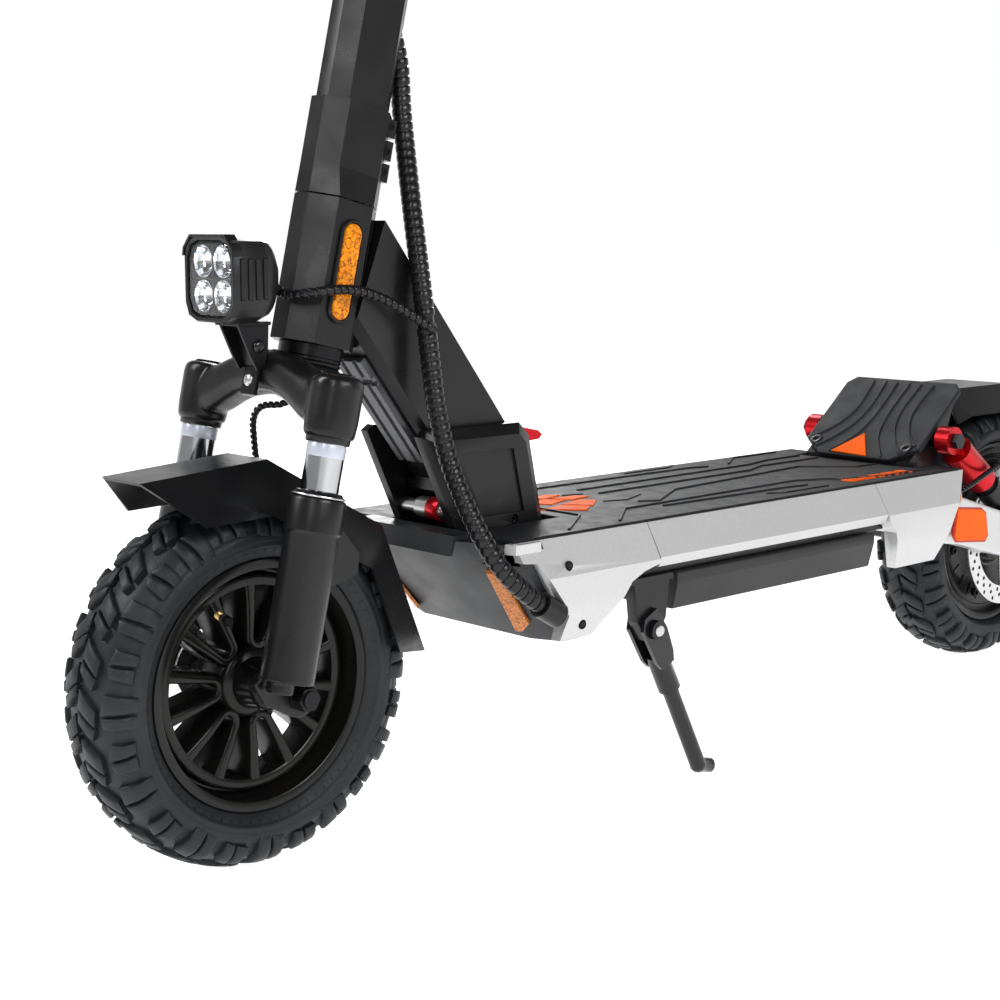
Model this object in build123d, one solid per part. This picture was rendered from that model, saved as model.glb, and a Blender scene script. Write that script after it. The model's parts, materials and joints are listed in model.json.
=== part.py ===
"""Electric kick scooter: deck, folding front frame, steered fork, sprung swing arm, hub motor."""
import os
from math import atan2, cos, pi, radians, sin

from build123d import *

# Driving dimensions, millimetres. X is across (left side +), Y runs backwards, Z is up.
WHEELBASE = 900.0
TYRE_R = 128.0
TYRE_HALF = 35.0
RIM_R = 87.0
RAKE = 13.26
AXIS_Y = -439.25
RUNNING = 0.05

FRONT_Y = -WHEELBASE / 2
REAR_Y = WHEELBASE / 2
AXLE_Z = TYRE_R

# Steering frame: s runs up the steering axis, t backwards, both from the axis at axle height.
LEG_X = 73.3
LEG_T = -29.4
STANCHION_R = 12.6
SLIDER_R = 18.0
SOCKET_R = 15.4
LEG_TOP = 209.0
SOCKET_LOW = 168.0
SLIDER_TOP = 129.0
SLIDER_LOW = 8.0
HEAD_LOW = 231.0
HEAD_TOP = 331.0
HEAD_WIDE = 46.0
HEAD_DEEP = 60.0
HEAD_CHAMFER = 15.0
CLAMP_LOW = 352.0
CLAMP_TOP = 398.0
CLAMP_BOLT_T = 29.5
STEM_WIDE = 34.0
STEM_DEEP = 54.0
STEM_CHAMFER = 10.5
STEM_TOP = 1128.0
STEERER_R = 14.3
BAR_HALF = 310.0
BAR_R = 11.1
BAR_S = 1106.0

# Deck
DECK_FRONT = -286.0
DECK_REAR = 280.0
CHASSIS_HALF = 92.0
TUB_FRONT = -248.0
TUB_REAR = 250.0
CHASSIS_LOW = 172.0
CHASSIS_TOP = 206.0
MAT_TOP = 216.0
RAIL_TOP = 214.0
NOSE_LOW = 132.0
NOSE_TOP = 213.0
SEAM_FRONT = -148.0
SEAM_REAR = 143.5

# Joints on the deck
FOLD_Y = -222.0
FOLD_Z = 246.0
FOLD_PIN_R = 6.0
DISC_R = 71.0
CALIPER_IN = 50.0
CALIPER_OUT = 80.0
FRONT_DISC_X = -44.5
FRONT_CALIPER_ANGLE = 35.0
REAR_DISC_X = 43.0
REAR_CALIPER_ANGLE = 55.0
LATCH_Y = -208.0
LATCH_Z = 278.5
LOCK_Y = -281.0
LOCK_Z = 228.5
LOCK_R = 5.5
PLATE_IN = 26.5
PLATE_OUT = 40.0
SWING_Y = 278.0
SWING_Z = 166.0
SHOCK_TOP_Y = 290.0
SHOCK_TOP_Z = 238.0
SHOCK_LOW_Y = 392.0
SHOCK_LOW_Z = 164.0
SHOCK_X = 74.0
DROPOUT_IN = 54.0
DROPOUT_OUT = 66.0
STAND_X = 93.0
STAND_Y = -142.0
STAND_Z = 131.0
FOOT_Y = -78.0

STEER = Plane(
    origin=(0, AXIS_Y, AXLE_Z), x_dir=(1, 0, 0), z_dir=(0, sin(radians(RAKE)), cos(radians(RAKE)))
)


def steer_point(x, t, s):
    """A point of the steering frame in the part's frame."""
    return STEER.from_local_coords(Vector(x, t, s))


def in_steer(shape):
    return STEER.location * shape


def polygon(points, direction, depth):
    """Prism of a closed polygon of 3-D points, pushed along a direction."""
    face = Face(Wire.make_polygon([Vector(*point) for point in points], close=True))
    return extrude(face, amount=depth, dir=direction)


def side(points, x0, x1):
    """Prism of a (y, z) outline from x0 to x1."""
    return polygon([(x0, y, z) for y, z in points], (1, 0, 0), x1 - x0)


def plan(points, z0, z1):
    """Prism of an (x, y) outline from z0 to z1."""
    return polygon([(x, y, z0) for x, y in points], (0, 0, 1), z1 - z0)


def across(points, y0, y1):
    """Prism of an (x, z) outline from y0 to y1."""
    return polygon([(x, y0, z) for x, z in points], (0, 1, 0), y1 - y0)


def block(x0, x1, y0, y1, z0, z1):
    return Pos(x0, y0, z0) * Box(x1 - x0, y1 - y0, z1 - z0, align=(Align.MIN,) * 3)


def rod(start, end, radius):
    """Round bar between two points."""
    start, end = Vector(*start), Vector(*end)
    length = (end - start).length
    place = Plane(origin=start, z_dir=end - start).location
    return place * Cylinder(radius, length, align=(Align.CENTER, Align.CENTER, Align.MIN))


def cross_rod(y, z, x0, x1, radius):
    """Round bar along X."""
    return rod((x0, y, z), (x1, y, z), radius)


def hexagon(y, z, x0, x1, across_flats):
    """Hexagonal bar along X."""
    corner = across_flats / 2 / cos(pi / 6)
    points = [(y + corner * cos(k * pi / 3), z + corner * sin(k * pi / 3)) for k in range(6)]
    return side(points, x0, x1)


def octagon(wide, deep, chamfer, s0, s1):
    """Chamfered rectangular bar along s, centred on the steering axis."""
    return plan(octagon_points(wide, deep, chamfer), s0, s1)


def octagon_points(wide, deep, chamfer):
    w, d, c = wide / 2, deep / 2, chamfer
    return [(-w, -d + c), (-w + c, -d), (w - c, -d), (w, -d + c),
            (w, d - c), (w - c, d), (-w + c, d), (-w, d - c)]


def loft_between(low_points, low_z, high_points, high_z):
    """Ruled solid between two (x, y) outlines with the same number of corners."""
    faces = [
        Face(Wire.make_polygon([Vector(x, y, z) for x, y in points], close=True))
        for points, z in ((low_points, low_z), (high_points, high_z))
    ]
    return loft(faces, ruled=True)


def roof_sections(ridge, edge, half, wide, y, thick):
    """Outer and inner skin points of a two-fold roof along a tyre centred at y."""
    sections = []
    for (ry, rz), (ey, ez) in zip(ridge, edge):
        inward = Vector(0, y - ry, AXLE_Z - rz).normalized() * thick
        outer = [Vector(-wide, ey, ez), Vector(-half, ry, rz), Vector(half, ry, rz), Vector(wide, ey, ez)]
        inner = [Vector(-wide + thick, ey, ez), Vector(-half + 1, ry, rz) + inward,
                 Vector(half - 1, ry, rz) + inward, Vector(wide - thick, ey, ez)]
        sections.append((outer, inner))
    return sections


def folded(sections):
    """Sheet solid of flat triangles through open sections of outer and inner points."""
    faces = []

    def quad(a, b, c, d):
        faces.append(Face(Wire.make_polygon([a, b, c], close=True)))
        faces.append(Face(Wire.make_polygon([a, c, d], close=True)))

    for (outer, inner), (next_outer, next_inner) in zip(sections, sections[1:]):
        for k in range(len(outer) - 1):
            quad(outer[k], outer[k + 1], next_outer[k + 1], next_outer[k])
            quad(inner[k + 1], inner[k], next_inner[k], next_inner[k + 1])
        quad(inner[0], outer[0], next_outer[0], next_inner[0])
        quad(outer[-1], inner[-1], next_inner[-1], next_outer[-1])
    for outer, inner in (sections[0], sections[-1]):
        for k in range(len(outer) - 1):
            quad(outer[k], outer[k + 1], inner[k + 1], inner[k])
    return Solid(Shell(faces))


def mirrored(shape):
    return mirror(shape, Plane.YZ)


def both(shape):
    """The shape and its mirror image on the other side, as two solids."""
    return [shape, mirrored(shape)]


def spun(points, y, z):
    """Solid of revolution about an X axis; points are (x, radius)."""
    face = Face(Wire.make_polygon([Vector(x, r, 0) for x, r in points], close=True))
    return Pos(0, y, z) * revolve(face, Axis.X)


def group(*shapes):
    solids = []
    for shape in shapes:
        for item in shape if isinstance(shape, list) else [shape]:
            solids.extend(item.solids())
    return Compound(children=solids)


def tube_path(points, share=0.45):
    """Straight runs joined by tangent arcs as large as the runs allow; prints the radii."""
    points = [Vector(*point) for point in points]
    radii = []
    for before, corner, after in zip(points, points[1:], points[2:]):
        run_in, run_out = corner - before, after - corner
        turn = radians(run_in.get_angle(run_out))
        radii.append(share * min(run_in.length, run_out.length) / (sin(turn / 2) / cos(turn / 2)))
    print("radii", [round(radius) for radius in radii])
    return FilletPolyline(*points, radius=radii)


def cable(points, diameter):
    """Round cable along a route of straight runs and arcs."""
    path = tube_path(points)
    start = Plane(origin=path @ 0, z_dir=path % 0)
    solid = sweep(start * Circle(diameter / 2), path=path)
    print("cable", round(path.length), "volume ratio",
          round(solid.volume / (pi * diameter**2 / 4 * path.length), 4))
    return solid


# ---------------------------------------------------------------- cables

BUNDLE_D = 14.0
LEAD_D = 7.0
HOSE_D = 5.0
BUNDLE_UPPER = [steer_point(0, 18, 464), steer_point(0, 33, 444), (2, -306, 520), (6, -306, 492),
                (22, -313.5, 446), (36.5, -318, 397), (40.5, -317, 367)]
BUNDLE_LOWER = [(40.5, -317, 367), (44.5, -316, 337), (51, -317, 306), (60, -313, 268), (77, -307, 230),
                (92.5, -293.5, 195), (100, -271, 173), (100.5, -256, 164)]


# ---------------------------------------------------------------- deck


def deck_frame():
    """Pressed chassis tub with a front tongue, swing-arm lugs and the plate behind it."""
    tub = block(-CHASSIS_HALF, CHASSIS_HALF, TUB_FRONT, TUB_REAR, CHASSIS_LOW, CHASSIS_TOP)
    tub -= block(-86, 86, TUB_FRONT + 6, TUB_REAR - 6, CHASSIS_LOW, CHASSIS_TOP - 4)
    tub += block(-56, 56, DECK_FRONT + 2, TUB_FRONT, 196, CHASSIS_TOP)
    tub += block(-CHASSIS_HALF, CHASSIS_HALF, TUB_REAR, DECK_REAR, CHASSIS_TOP - 4, CHASSIS_TOP)
    lug = [(246, 203), (292, 203), (292, 160), (284, 152), (270, 152), (246, 176)]
    for x in (-70, 60):
        tub += side(lug, x, x + 10)
    return tub - cross_rod(SWING_Y, SWING_Z, -75, 75, 6)


CORNER_FRONT = [
    (DECK_FRONT, RAIL_TOP), (-280, 199.5), (-267, 198), (-243, 166), (-238, 157), (-244, 138),
    (-212, 138), (-203, 146), (-181, 163), (-172, 173), (-158, 179), (-139.6, 183), (SEAM_FRONT, RAIL_TOP),
]
RAIL = [(SEAM_FRONT + 0.8, RAIL_TOP), (SEAM_REAR, RAIL_TOP), (157, 179), (-137.5, 179)]
CORNER_REAR = [
    (SEAM_REAR + 0.8, RAIL_TOP), (DECK_REAR, RAIL_TOP), (270, 195), (243, 152),
    (232, 137), (172, 137), (166, 170), (157.8, 179),
]


def castings():
    """Front corner, side rail and rear corner of the left side."""
    shell = [(92.2, RAIL_TOP), (97, RAIL_TOP), (105, 186), (106, 162), (101, 137), (92.2, 137)]
    skirt = across(shell, -300, 300)
    sill = [(92.2, RAIL_TOP), (97, RAIL_TOP), (105, 187), (100.5, 179), (92.2, 179)]
    front = side(CORNER_FRONT, 92, 112) & skirt
    for y, z in ((-237, 193), (-223, 148)):
        front -= cross_rod(y, z, 98, 112, 3.6)
    rail = side(RAIL, 92, 112) & across(sill, -300, 300)
    rear = side(CORNER_REAR, 92, 112) & skirt
    return [front, rail, rear]


def nose_corner(z):
    """Outer corner of the nose at a height, where the side meets the front facet."""
    share = (z - NOSE_LOW) / (NOSE_TOP - NOSE_LOW)
    return Vector(84 + 16 * share, -224 - 62 * share, z)


def nose_cover():
    """Plastic front shell and the sheet cap over its top edge."""
    top = [(-100, -286), (-57, -304), (57, -304), (100, -286), (100, -262), (-100, -262)]
    low = [(-84, -224), (-60, -234), (60, -234), (84, -224), (84, -206), (-84, -206)]
    shell = loft_between(low, NOSE_LOW, top, NOSE_TOP)
    inner_top = [(-96, -284), (-56, -300.5), (56, -300.5), (96, -284), (96, -255), (-96, -255)]
    inner_low = [(-80, -222), (-59, -230.5), (59, -230.5), (80, -222), (80, -195), (-80, -195)]
    shell -= loft_between(inner_low, NOSE_LOW + 2.5, inner_top, NOSE_TOP - 3.5)
    shell -= block(-92.3, 92.3, DECK_FRONT - 0.3, -200, CHASSIS_TOP - 10.3, 220)
    shell -= block(-92.3, 92.3, TUB_FRONT - 0.3, -200, CHASSIS_LOW - 0.3, 220)
    for casting in castings():
        shell -= casting
        shell -= mirrored(casting)
    cap = side([(-300, 213.2), (-304.6, 213.2), (-308, 203), (-311, 203), (-306, 217), (-286.5, 217),
                (-286.5, 213.2)], -57, 57)
    return group(shell.solids().sort_by(SortBy.VOLUME)[-1], cap)


def corner_reflectors():
    """Amber parallelogram reflectors on the two nose corner facets."""
    high, low = nose_corner(204), nose_corner(146)
    along = Vector(-1, -18 / 43, 0).normalized()
    outline = [high + along * 16, high + along * 26, low + along * 21, low + along * 11]
    normal = (outline[1] - outline[0]).cross(outline[3] - outline[0]).normalized()
    if normal.Y > 0:
        normal = -normal
    face = Face(Wire.make_polygon(outline, close=True))
    return group(both(extrude(face, amount=2.5, dir=normal)))


def deck_mat():
    """Rubber mat with a lip on both rails, cut out round the fold bracket and the kick plate."""
    mat = block(-91.8, 91.8, DECK_FRONT, 276, CHASSIS_TOP, MAT_TOP)
    mat += block(-96.5, 96.5, DECK_FRONT, 276, RAIL_TOP, MAT_TOP)
    mat -= block(-43, 43, DECK_FRONT - 1, -187, CHASSIS_TOP, MAT_TOP + 1)
    return mat - block(-66, 66, 246, DECK_REAR, CHASSIS_TOP, MAT_TOP + 1)


def battery_pack():
    """Battery case under the deck, its sides folded in towards the bottom."""
    outline = [(-85.5, 201), (-85.5, 171.5), (-99, 171.5), (-99, 163), (-93.5, 141.5),
               (93.5, 141.5), (99, 163), (99, 171.5), (85.5, 171.5), (85.5, 201)]
    return across(outline, -114, 143)


def controller():
    """Motor controller with cooling fins, in the front of the chassis."""
    box = block(-55, 55, -240, -140, 176, 192)
    for k in range(9):
        y = -232 + k * 10.5
        box += block(-50, 50, y, y + 4, 192, 200)
    return box


def fold_plates():
    """Two cheek plates of the fold bracket on one foot, with sunk panels on their outsides."""
    outline = [(-280, 206), (-317, 286), (-311, 290), (-221, 290), (-211, 280), (-195, 206)]
    inset = [(-270, 206), (-303, 280), (-301, 282.5), (-226, 282.5), (-219, 275), (-204, 206)]
    panel = [(-262, 224), (-286, 272), (-232, 272), (-221, 224)]

    def outline_at(points, x):
        return Face(Wire.make_polygon([Vector(x, y, z) for y, z in points], close=True))

    cheek = side(outline, PLATE_IN, PLATE_OUT - 6)
    cheek += loft([outline_at(outline, PLATE_OUT - 6), outline_at(inset, PLATE_OUT)], ruled=True)
    cheek -= side(panel, PLATE_OUT - 2, PLATE_OUT + 1)
    cheek -= cross_rod(-231, 218.5, PLATE_OUT - 7, PLATE_OUT + 1, 4)
    cheek -= cross_rod(FOLD_Y, FOLD_Z, 0, PLATE_OUT - 4, FOLD_PIN_R)
    cheek -= cross_rod(LOCK_Y, LOCK_Z, 0, PLATE_OUT - 4, LOCK_R)
    foot = block(-PLATE_OUT, PLATE_OUT, -286, -195, CHASSIS_TOP, 213)
    return cheek + mirrored(cheek) + foot


def fold_pins():
    """Pivot pin at the back and the stepped lock shaft at the front of the bracket."""
    reach = PLATE_OUT - 4
    pivot = cross_rod(FOLD_Y, FOLD_Z, -reach, reach, FOLD_PIN_R)
    lock = cross_rod(LOCK_Y, LOCK_Z, -reach, reach, LOCK_R) + cross_rod(LOCK_Y, LOCK_Z, -8, 18, 8)
    return group(pivot, lock)


def latch_lever():
    """Red release lever behind the beam, on a short pin of the front frame."""
    outline = [(-213, 276), (-208, 284.5), (-192, 281), (-188, 277.5), (-191, 274.5), (-206, 273.5)]
    arm = side(outline, 13, 25)
    arm += cross_rod(LATCH_Y, LATCH_Z, 13, 25, 5.5)
    return arm - cross_rod(LATCH_Y, LATCH_Z, 10, 28, 3 + RUNNING)


def kick_plate():
    """Sloping rear kick plate with gussets and the cross tube that holds the shocks."""
    slope = [(251, 219), (251, CHASSIS_TOP), (276.2, CHASSIS_TOP), (276.2, 234.6), (331, 278.5), (331, 283)]
    plate = side(slope, -58, 58)
    gusset = [(276.3, CHASSIS_TOP), (276.3, 234), (322, 270), (306, 232), (279.9, CHASSIS_TOP)]
    for x in (-58, 54):
        plate += side(gusset, x, x + 4)
    plate += cross_rod(SHOCK_TOP_Y, SHOCK_TOP_Z, -SHOCK_X + 8, SHOCK_X - 8, 9)
    bolt = cross_rod(SHOCK_TOP_Y, SHOCK_TOP_Z, SHOCK_X - 9, SHOCK_X + 12, 5)
    bolt += hexagon(SHOCK_TOP_Y, SHOCK_TOP_Z, SHOCK_X + 7.5, SHOCK_X + 13, 13)
    return plate + bolt + mirrored(bolt)


def kick_pad():
    """Rubber pad on the kick plate with cut lower corners."""
    lean = atan2(64, 80)
    slope = Plane(origin=(0, 251, 219), x_dir=(1, 0, 0), z_dir=(0, -sin(lean), cos(lean)))
    outline = [(-40, -4), (40, -4), (64, 14), (64, 94), (56, 103), (-56, 103), (-64, 94), (-64, 14)]
    return slope.location * plan(outline, 0, 5.5)


def cable_gland():
    """Gland on the left front casting, where the cable bundle enters the deck."""
    end = Vector(*BUNDLE_LOWER[-1])
    out = (Vector(*BUNDLE_LOWER[-2]) - end).normalized()
    inner, mouth = end - out * 12, end + out * 8
    boss = rod(tuple(inner), tuple(mouth), 9.5)
    boss -= rod(tuple(end), tuple(mouth + out), BUNDLE_D / 2 + 0.1)
    boss -= block(0, CHASSIS_HALF, -300, -200, 100, 250)
    for casting in castings():
        boss -= casting
    for solid in nose_cover().solids():
        boss -= solid
    return boss.solids().sort_by(SortBy.VOLUME)[-1]


def kickstand_bracket():
    """Tongue under the chassis that carries the kickstand pin."""
    body = block(64, STAND_X + 5, -166, -118, CHASSIS_LOW - 5, CHASSIS_LOW)
    body += side([(-162, CHASSIS_LOW - 3), (-158, 138), (-147, 122), (-137, 122), (-126, 138),
                  (-122, CHASSIS_LOW - 3)], STAND_X - 5, STAND_X + 5)
    pin = cross_rod(STAND_Y, STAND_Z, STAND_X - 13, STAND_X + 12, 5)
    head = cross_rod(STAND_Y, STAND_Z, STAND_X + 10, STAND_X + 13, 7.5)
    return body + pin + head


def kickstand_leg():
    """Folded-sheet fork, sleeve, round leg and bent foot."""
    lean = Vector(0, FOOT_Y - STAND_Y, 7 - STAND_Z).normalized()
    pin = Vector(STAND_X, STAND_Y, STAND_Z)
    cheek_points = [(-14, 9), (6, 12), (26, 10), (34, 7), (34, -7), (26, -10), (-6, -12), (-14, -6)]
    normal = Vector(0, -lean.Z, lean.Y)
    outline = []
    for along, aside in cheek_points:
        point = pin + lean * along + normal * aside
        outline.append((point.Y, point.Z))
    leg = side(outline, STAND_X + 5.5, STAND_X + 9) + side(outline, STAND_X - 9, STAND_X - 5.5)

    def at(distance):
        point = pin + lean * distance
        return (point.X, point.Y, point.Z)

    leg -= cross_rod(STAND_Y, STAND_Z, STAND_X - 20, STAND_X + 20, 5 + RUNNING)
    leg += rod(at(24), at(58), 9)
    leg += rod(at(50), at(136), 6.5)
    foot = at(136)
    leg += Pos(*foot) * Sphere(6.7)
    leg += rod(foot, (STAND_X, foot[1] + 14, 6.6), 6.0)
    return leg


def deck_fixings():
    """Swing-arm pivot bolt and the black cap screws of the front corner castings."""
    screws = [cross_rod(SWING_Y, SWING_Z, -83.5, 83.5, 6)]
    for y, z in ((-237, 193), (-223, 148)):
        screws += both(cross_rod(y, z, 98, 104, 3.6))
    return group(screws)


# ---------------------------------------------------------------- folding front frame


def main_frame():
    """Octagonal head tube with the sloping beam and its pivot knuckle."""
    head = in_steer(octagon(HEAD_WIDE, HEAD_DEEP, HEAD_CHAMFER, HEAD_LOW, HEAD_TOP))
    outline = [(-340, 438.2), (-205, 262), (-198, 246), (-206, 228), (-266, 228), (-279, 241),
               (-279.5, 250), (-368, 366)]
    beam = side(outline, -25, 25)
    under = Plane(origin=(0, -279.5, 250), x_dir=(1, 0, 0), z_dir=(0, 88.5, -116))
    for sign in (-1, 1):
        corner = [(sign * 26, -1), (sign * 26, 7), (sign * 17, -1)]
        beam -= under.location * Rot(0, 0, 180) * Pos(0, 0, -170) * plan(corner, 0, 176)
    frame = head + beam
    frame -= in_steer(rod((0, 0, HEAD_LOW - 9), (0, 0, HEAD_TOP + 9), 17))
    frame -= cross_rod(FOLD_Y, FOLD_Z, -30, 30, FOLD_PIN_R + RUNNING)
    lug = [(LATCH_Y - 12, LATCH_Z), (LATCH_Y - 2, LATCH_Z + 5), (LATCH_Y + 4, LATCH_Z + 2),
           (LATCH_Y + 4, LATCH_Z - 4), (LATCH_Y - 4, LATCH_Z - 9)]
    frame += side(lug, 8.6, 12.6)
    frame += side(lug, -4, 0)
    return frame + cross_rod(LATCH_Y, LATCH_Z, -4, 26.2, 3)


def beam_cover():
    """Grooved channel along the underside of the beam."""
    def under(along, out):
        return (-368 + 0.6066 * along - 0.795 * out, 366 - 0.795 * along - 0.6066 * out)

    cover = side([under(28, 0.1), under(28, 5.5), under(124, 5.5), under(124, 0.1)], -15, 15)
    for x in (-9, 5):
        cover -= side([under(27, 4), under(27, 8), under(126, 8), under(126, 4)], x, x + 4)
    return cover - side([under(44, 2.5), under(44, 8), under(50, 8), under(50, 2.5)], -16, 16)


def head_reflectors():
    """Slot-shaped amber reflectors in black bezels on both sides of the head tube."""
    x = HEAD_WIDE / 2
    slot = Plane.YZ.offset(x) * SlotOverall(66, 15, rotation=90)
    lens = extrude(slot, amount=3)
    bezel = extrude(Plane.YZ.offset(x) * SlotOverall(70, 19, rotation=90), amount=1.8)
    piece = Pos(0, 0, (HEAD_LOW + HEAD_TOP) / 2 + 2) * (lens + bezel)
    return group(both(in_steer(piece)))


def headset_bearings():
    """Lower and upper headset cups."""
    def ring(s0, s1, radius):
        outer = rod((0, 0, s0), (0, 0, s1), radius)
        return outer - rod((0, 0, s0 - 1), (0, 0, s1 + 1), STEERER_R + RUNNING)

    lower = ring(222.5, HEAD_LOW, 22.5) + ring(HEAD_LOW, HEAD_LOW + 9, 17)
    upper = ring(HEAD_TOP - 9, HEAD_TOP, 17)
    return group(in_steer(lower), in_steer(upper))


# ---------------------------------------------------------------- steering


def crown():
    """Cast fork crown with an arched bridge, two leg sockets and the steerer."""
    arch = [(-66, 172), (-58, 177), (-46, 186), (-28, 193), (28, 193), (46, 186), (58, 177), (66, 172),
            (66, 205), (46, 208), (26, 214), (-26, 214), (-46, 208), (-66, 205)]
    body = polygon([(x, -42, s) for x, s in arch], (0, 1, 0), 25)
    hub = [(-20, -17.5), (20, -17.5), (22, -8), (18, 12), (8, 20), (-8, 20), (-18, 12), (-22, -8)]
    body += plan(hub, 196, 214)
    body += rod((0, 0, 213), (0, 0, 219), 20.5)
    for sign in (-1, 1):
        x = sign * LEG_X
        body += rod((x, LEG_T, SOCKET_LOW), (x, LEG_T, LEG_TOP), SOCKET_R + 1.6)
    body += rod((0, 0, 218), (0, 0, CLAMP_LOW), STEERER_R)
    body -= rod((0, 0, 190), (0, 0, CLAMP_LOW + 1), STEERER_R - 3)
    for sign in (-1, 1):
        x = sign * LEG_X
        body -= rod((x, LEG_T, SOCKET_LOW - 1), (x, LEG_T, LEG_TOP - 7), STANCHION_R)
    return in_steer(body)


def stanchions():
    """Hard-chromed fork tubes."""
    tubes = []
    for sign in (-1, 1):
        x = sign * LEG_X
        tube = rod((x, LEG_T, 50), (x, LEG_T, LEG_TOP - 7), STANCHION_R)
        tubes.append(in_steer(tube - rod((x, LEG_T, 49), (x, LEG_T, LEG_TOP), STANCHION_R - 2.5)))
    return group(tubes)


def stem_clamp():
    """Octagonal clamp collar on a flared skirt, split at the back by two slots."""
    skirt = loft_between(octagon_points(HEAD_WIDE, HEAD_DEEP, HEAD_CHAMFER), HEAD_TOP + 1,
                         octagon_points(STEM_WIDE + 6, STEM_DEEP + 6, STEM_CHAMFER + 2), CLAMP_LOW)
    collar = octagon(STEM_WIDE + 6, STEM_DEEP + 6, STEM_CHAMFER + 2, CLAMP_LOW, CLAMP_TOP)
    flange = block(-9, 9, 25, 34, CLAMP_LOW + 1, CLAMP_TOP - 1)
    body = skirt + collar + flange
    body -= octagon(STEM_WIDE, STEM_DEEP, STEM_CHAMFER, CLAMP_LOW, CLAMP_TOP + 1)
    body -= rod((0, 0, HEAD_TOP), (0, 0, CLAMP_LOW + 1), STEERER_R)
    for s in (CLAMP_LOW + 15, CLAMP_LOW + 31):
        body -= block(-12, 12, 27.2, 40, s - 1.2, s + 1.2)
    body -= block(-1.2, 1.2, 26, 40, CLAMP_LOW - 1, CLAMP_TOP + 1)
    for s in clamp_bolt_heights():
        body -= rod((-20, CLAMP_BOLT_T, s), (20, CLAMP_BOLT_T, s), 2)
        body -= rod((7.3, CLAMP_BOLT_T, s), (20, CLAMP_BOLT_T, s), 3.2)
    return in_steer(body)


def clamp_bolt_heights():
    return (CLAMP_LOW + 8, CLAMP_LOW + 22.5, CLAMP_LOW + 40)


def clamp_bolts():
    """Three socket bolts through the clamp flange."""
    bolts = []
    for s in clamp_bolt_heights():
        t = CLAMP_BOLT_T
        bolt = rod((-9, t, s), (8, t, s), 2) + rod((7.3, t, s), (9.6, t, s), 3.2)
        bolt -= rod((8.4, t, s), (10, t, s), 1.6)
        bolts.append(in_steer(bolt))
    return group(bolts)


def stem():
    """Octagonal stem tube, closed by the head that holds the handlebar."""
    tube = octagon(STEM_WIDE, STEM_DEEP, STEM_CHAMFER, CLAMP_LOW, STEM_TOP - 40)
    tube -= octagon(STEM_WIDE - 5, STEM_DEEP - 5, STEM_CHAMFER - 1.5, CLAMP_LOW - 1, STEM_TOP - 60)
    head = block(-24, 24, -24, 24, BAR_S - 22, BAR_S + 22)
    head = fillet(head.edges(), 6)
    body = tube + head
    body -= rod((-40, 0, BAR_S), (40, 0, BAR_S), BAR_R)
    body = in_steer(body)
    start, outside = Vector(*BUNDLE_UPPER[0]), Vector(*BUNDLE_UPPER[1])
    body -= rod(tuple(start), tuple(outside), BUNDLE_D / 2 + 1.5)
    body -= rod(tuple(outside), BUNDLE_UPPER[2], BUNDLE_D / 2 + 1.5)
    for x in (-8, 0, 8):
        body -= rod(tuple(steer_point(x, -30, 1015)), tuple(steer_point(x, -18, 1015)), HOSE_D / 2 + 0.4)
    return body


def handlebar():
    """Straight handlebar tube."""
    bar = rod((-BAR_HALF + 3, 0, BAR_S), (BAR_HALF - 3, 0, BAR_S), BAR_R)
    bar -= rod((-BAR_HALF, 0, BAR_S), (BAR_HALF, 0, BAR_S), BAR_R - 2)
    return in_steer(bar)


def grips():
    """Rubber grips with end flanges."""
    grip = rod((BAR_HALF - 125, 0, BAR_S), (BAR_HALF, 0, BAR_S), 15.5)
    grip += rod((BAR_HALF - 125, 0, BAR_S), (BAR_HALF - 121, 0, BAR_S), 18.5)
    grip -= rod((BAR_HALF - 126, 0, BAR_S), (BAR_HALF - 3, 0, BAR_S), BAR_R)
    return group(both(in_steer(grip)))


def display():
    """Colour display on top of the stem head."""
    case = block(-34, 34, -26, 26, BAR_S + 22.1, BAR_S + 34)
    case = fillet(case.edges(), 4.5)
    case -= rod((25, 0, BAR_S + 29), (25, 0, BAR_S + 40), 4.5)
    return in_steer(case)


def power_button():
    """Push button in the display case."""
    return in_steer(rod((25, 0, BAR_S + 31.2), (25, 0, BAR_S + 35.5), 4.2))


LEVER_X = 158.0
LEVER_T = -30.0


def bar_controls():
    """Brake lever perches on both sides and the thumb throttle housing on the right."""
    perch = rod((LEVER_X - 12, 0, BAR_S), (LEVER_X + 12, 0, BAR_S), 15.5)
    perch += block(LEVER_X - 12, LEVER_X + 4, -34, -6, BAR_S - 9, BAR_S - 5)
    perch += block(LEVER_X - 12, LEVER_X + 4, -34, -6, BAR_S + 5, BAR_S + 9)
    perch += block(LEVER_X - 24, LEVER_X - 13.5, -26, -8, BAR_S - 9, BAR_S + 9)
    perch -= rod((LEVER_X - 4, LEVER_T, BAR_S - 12), (LEVER_X - 4, LEVER_T, BAR_S + 12), 2.5)
    perch += rod((LEVER_X - 4, LEVER_T, BAR_S - 9), (LEVER_X - 4, LEVER_T, BAR_S + 9), 2.5)
    perch -= rod((LEVER_X - 30, 0, BAR_S), (LEVER_X + 30, 0, BAR_S), BAR_R)
    throttle = rod((-132, 0, BAR_S), (-112, 0, BAR_S), 17)
    throttle += rod((-122, 0, BAR_S - 26), (-122, 0, BAR_S), 9)
    throttle -= block(-126.5, -117.5, -12, 12, BAR_S - 28, BAR_S - 12)
    throttle += rod((-131, 0, BAR_S - 21), (-113, 0, BAR_S - 21), 2.5)
    throttle -= rod((-140, 0, BAR_S), (-100, 0, BAR_S), BAR_R)
    return group(in_steer(perch), mirrored(in_steer(perch)), in_steer(throttle))


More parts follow.
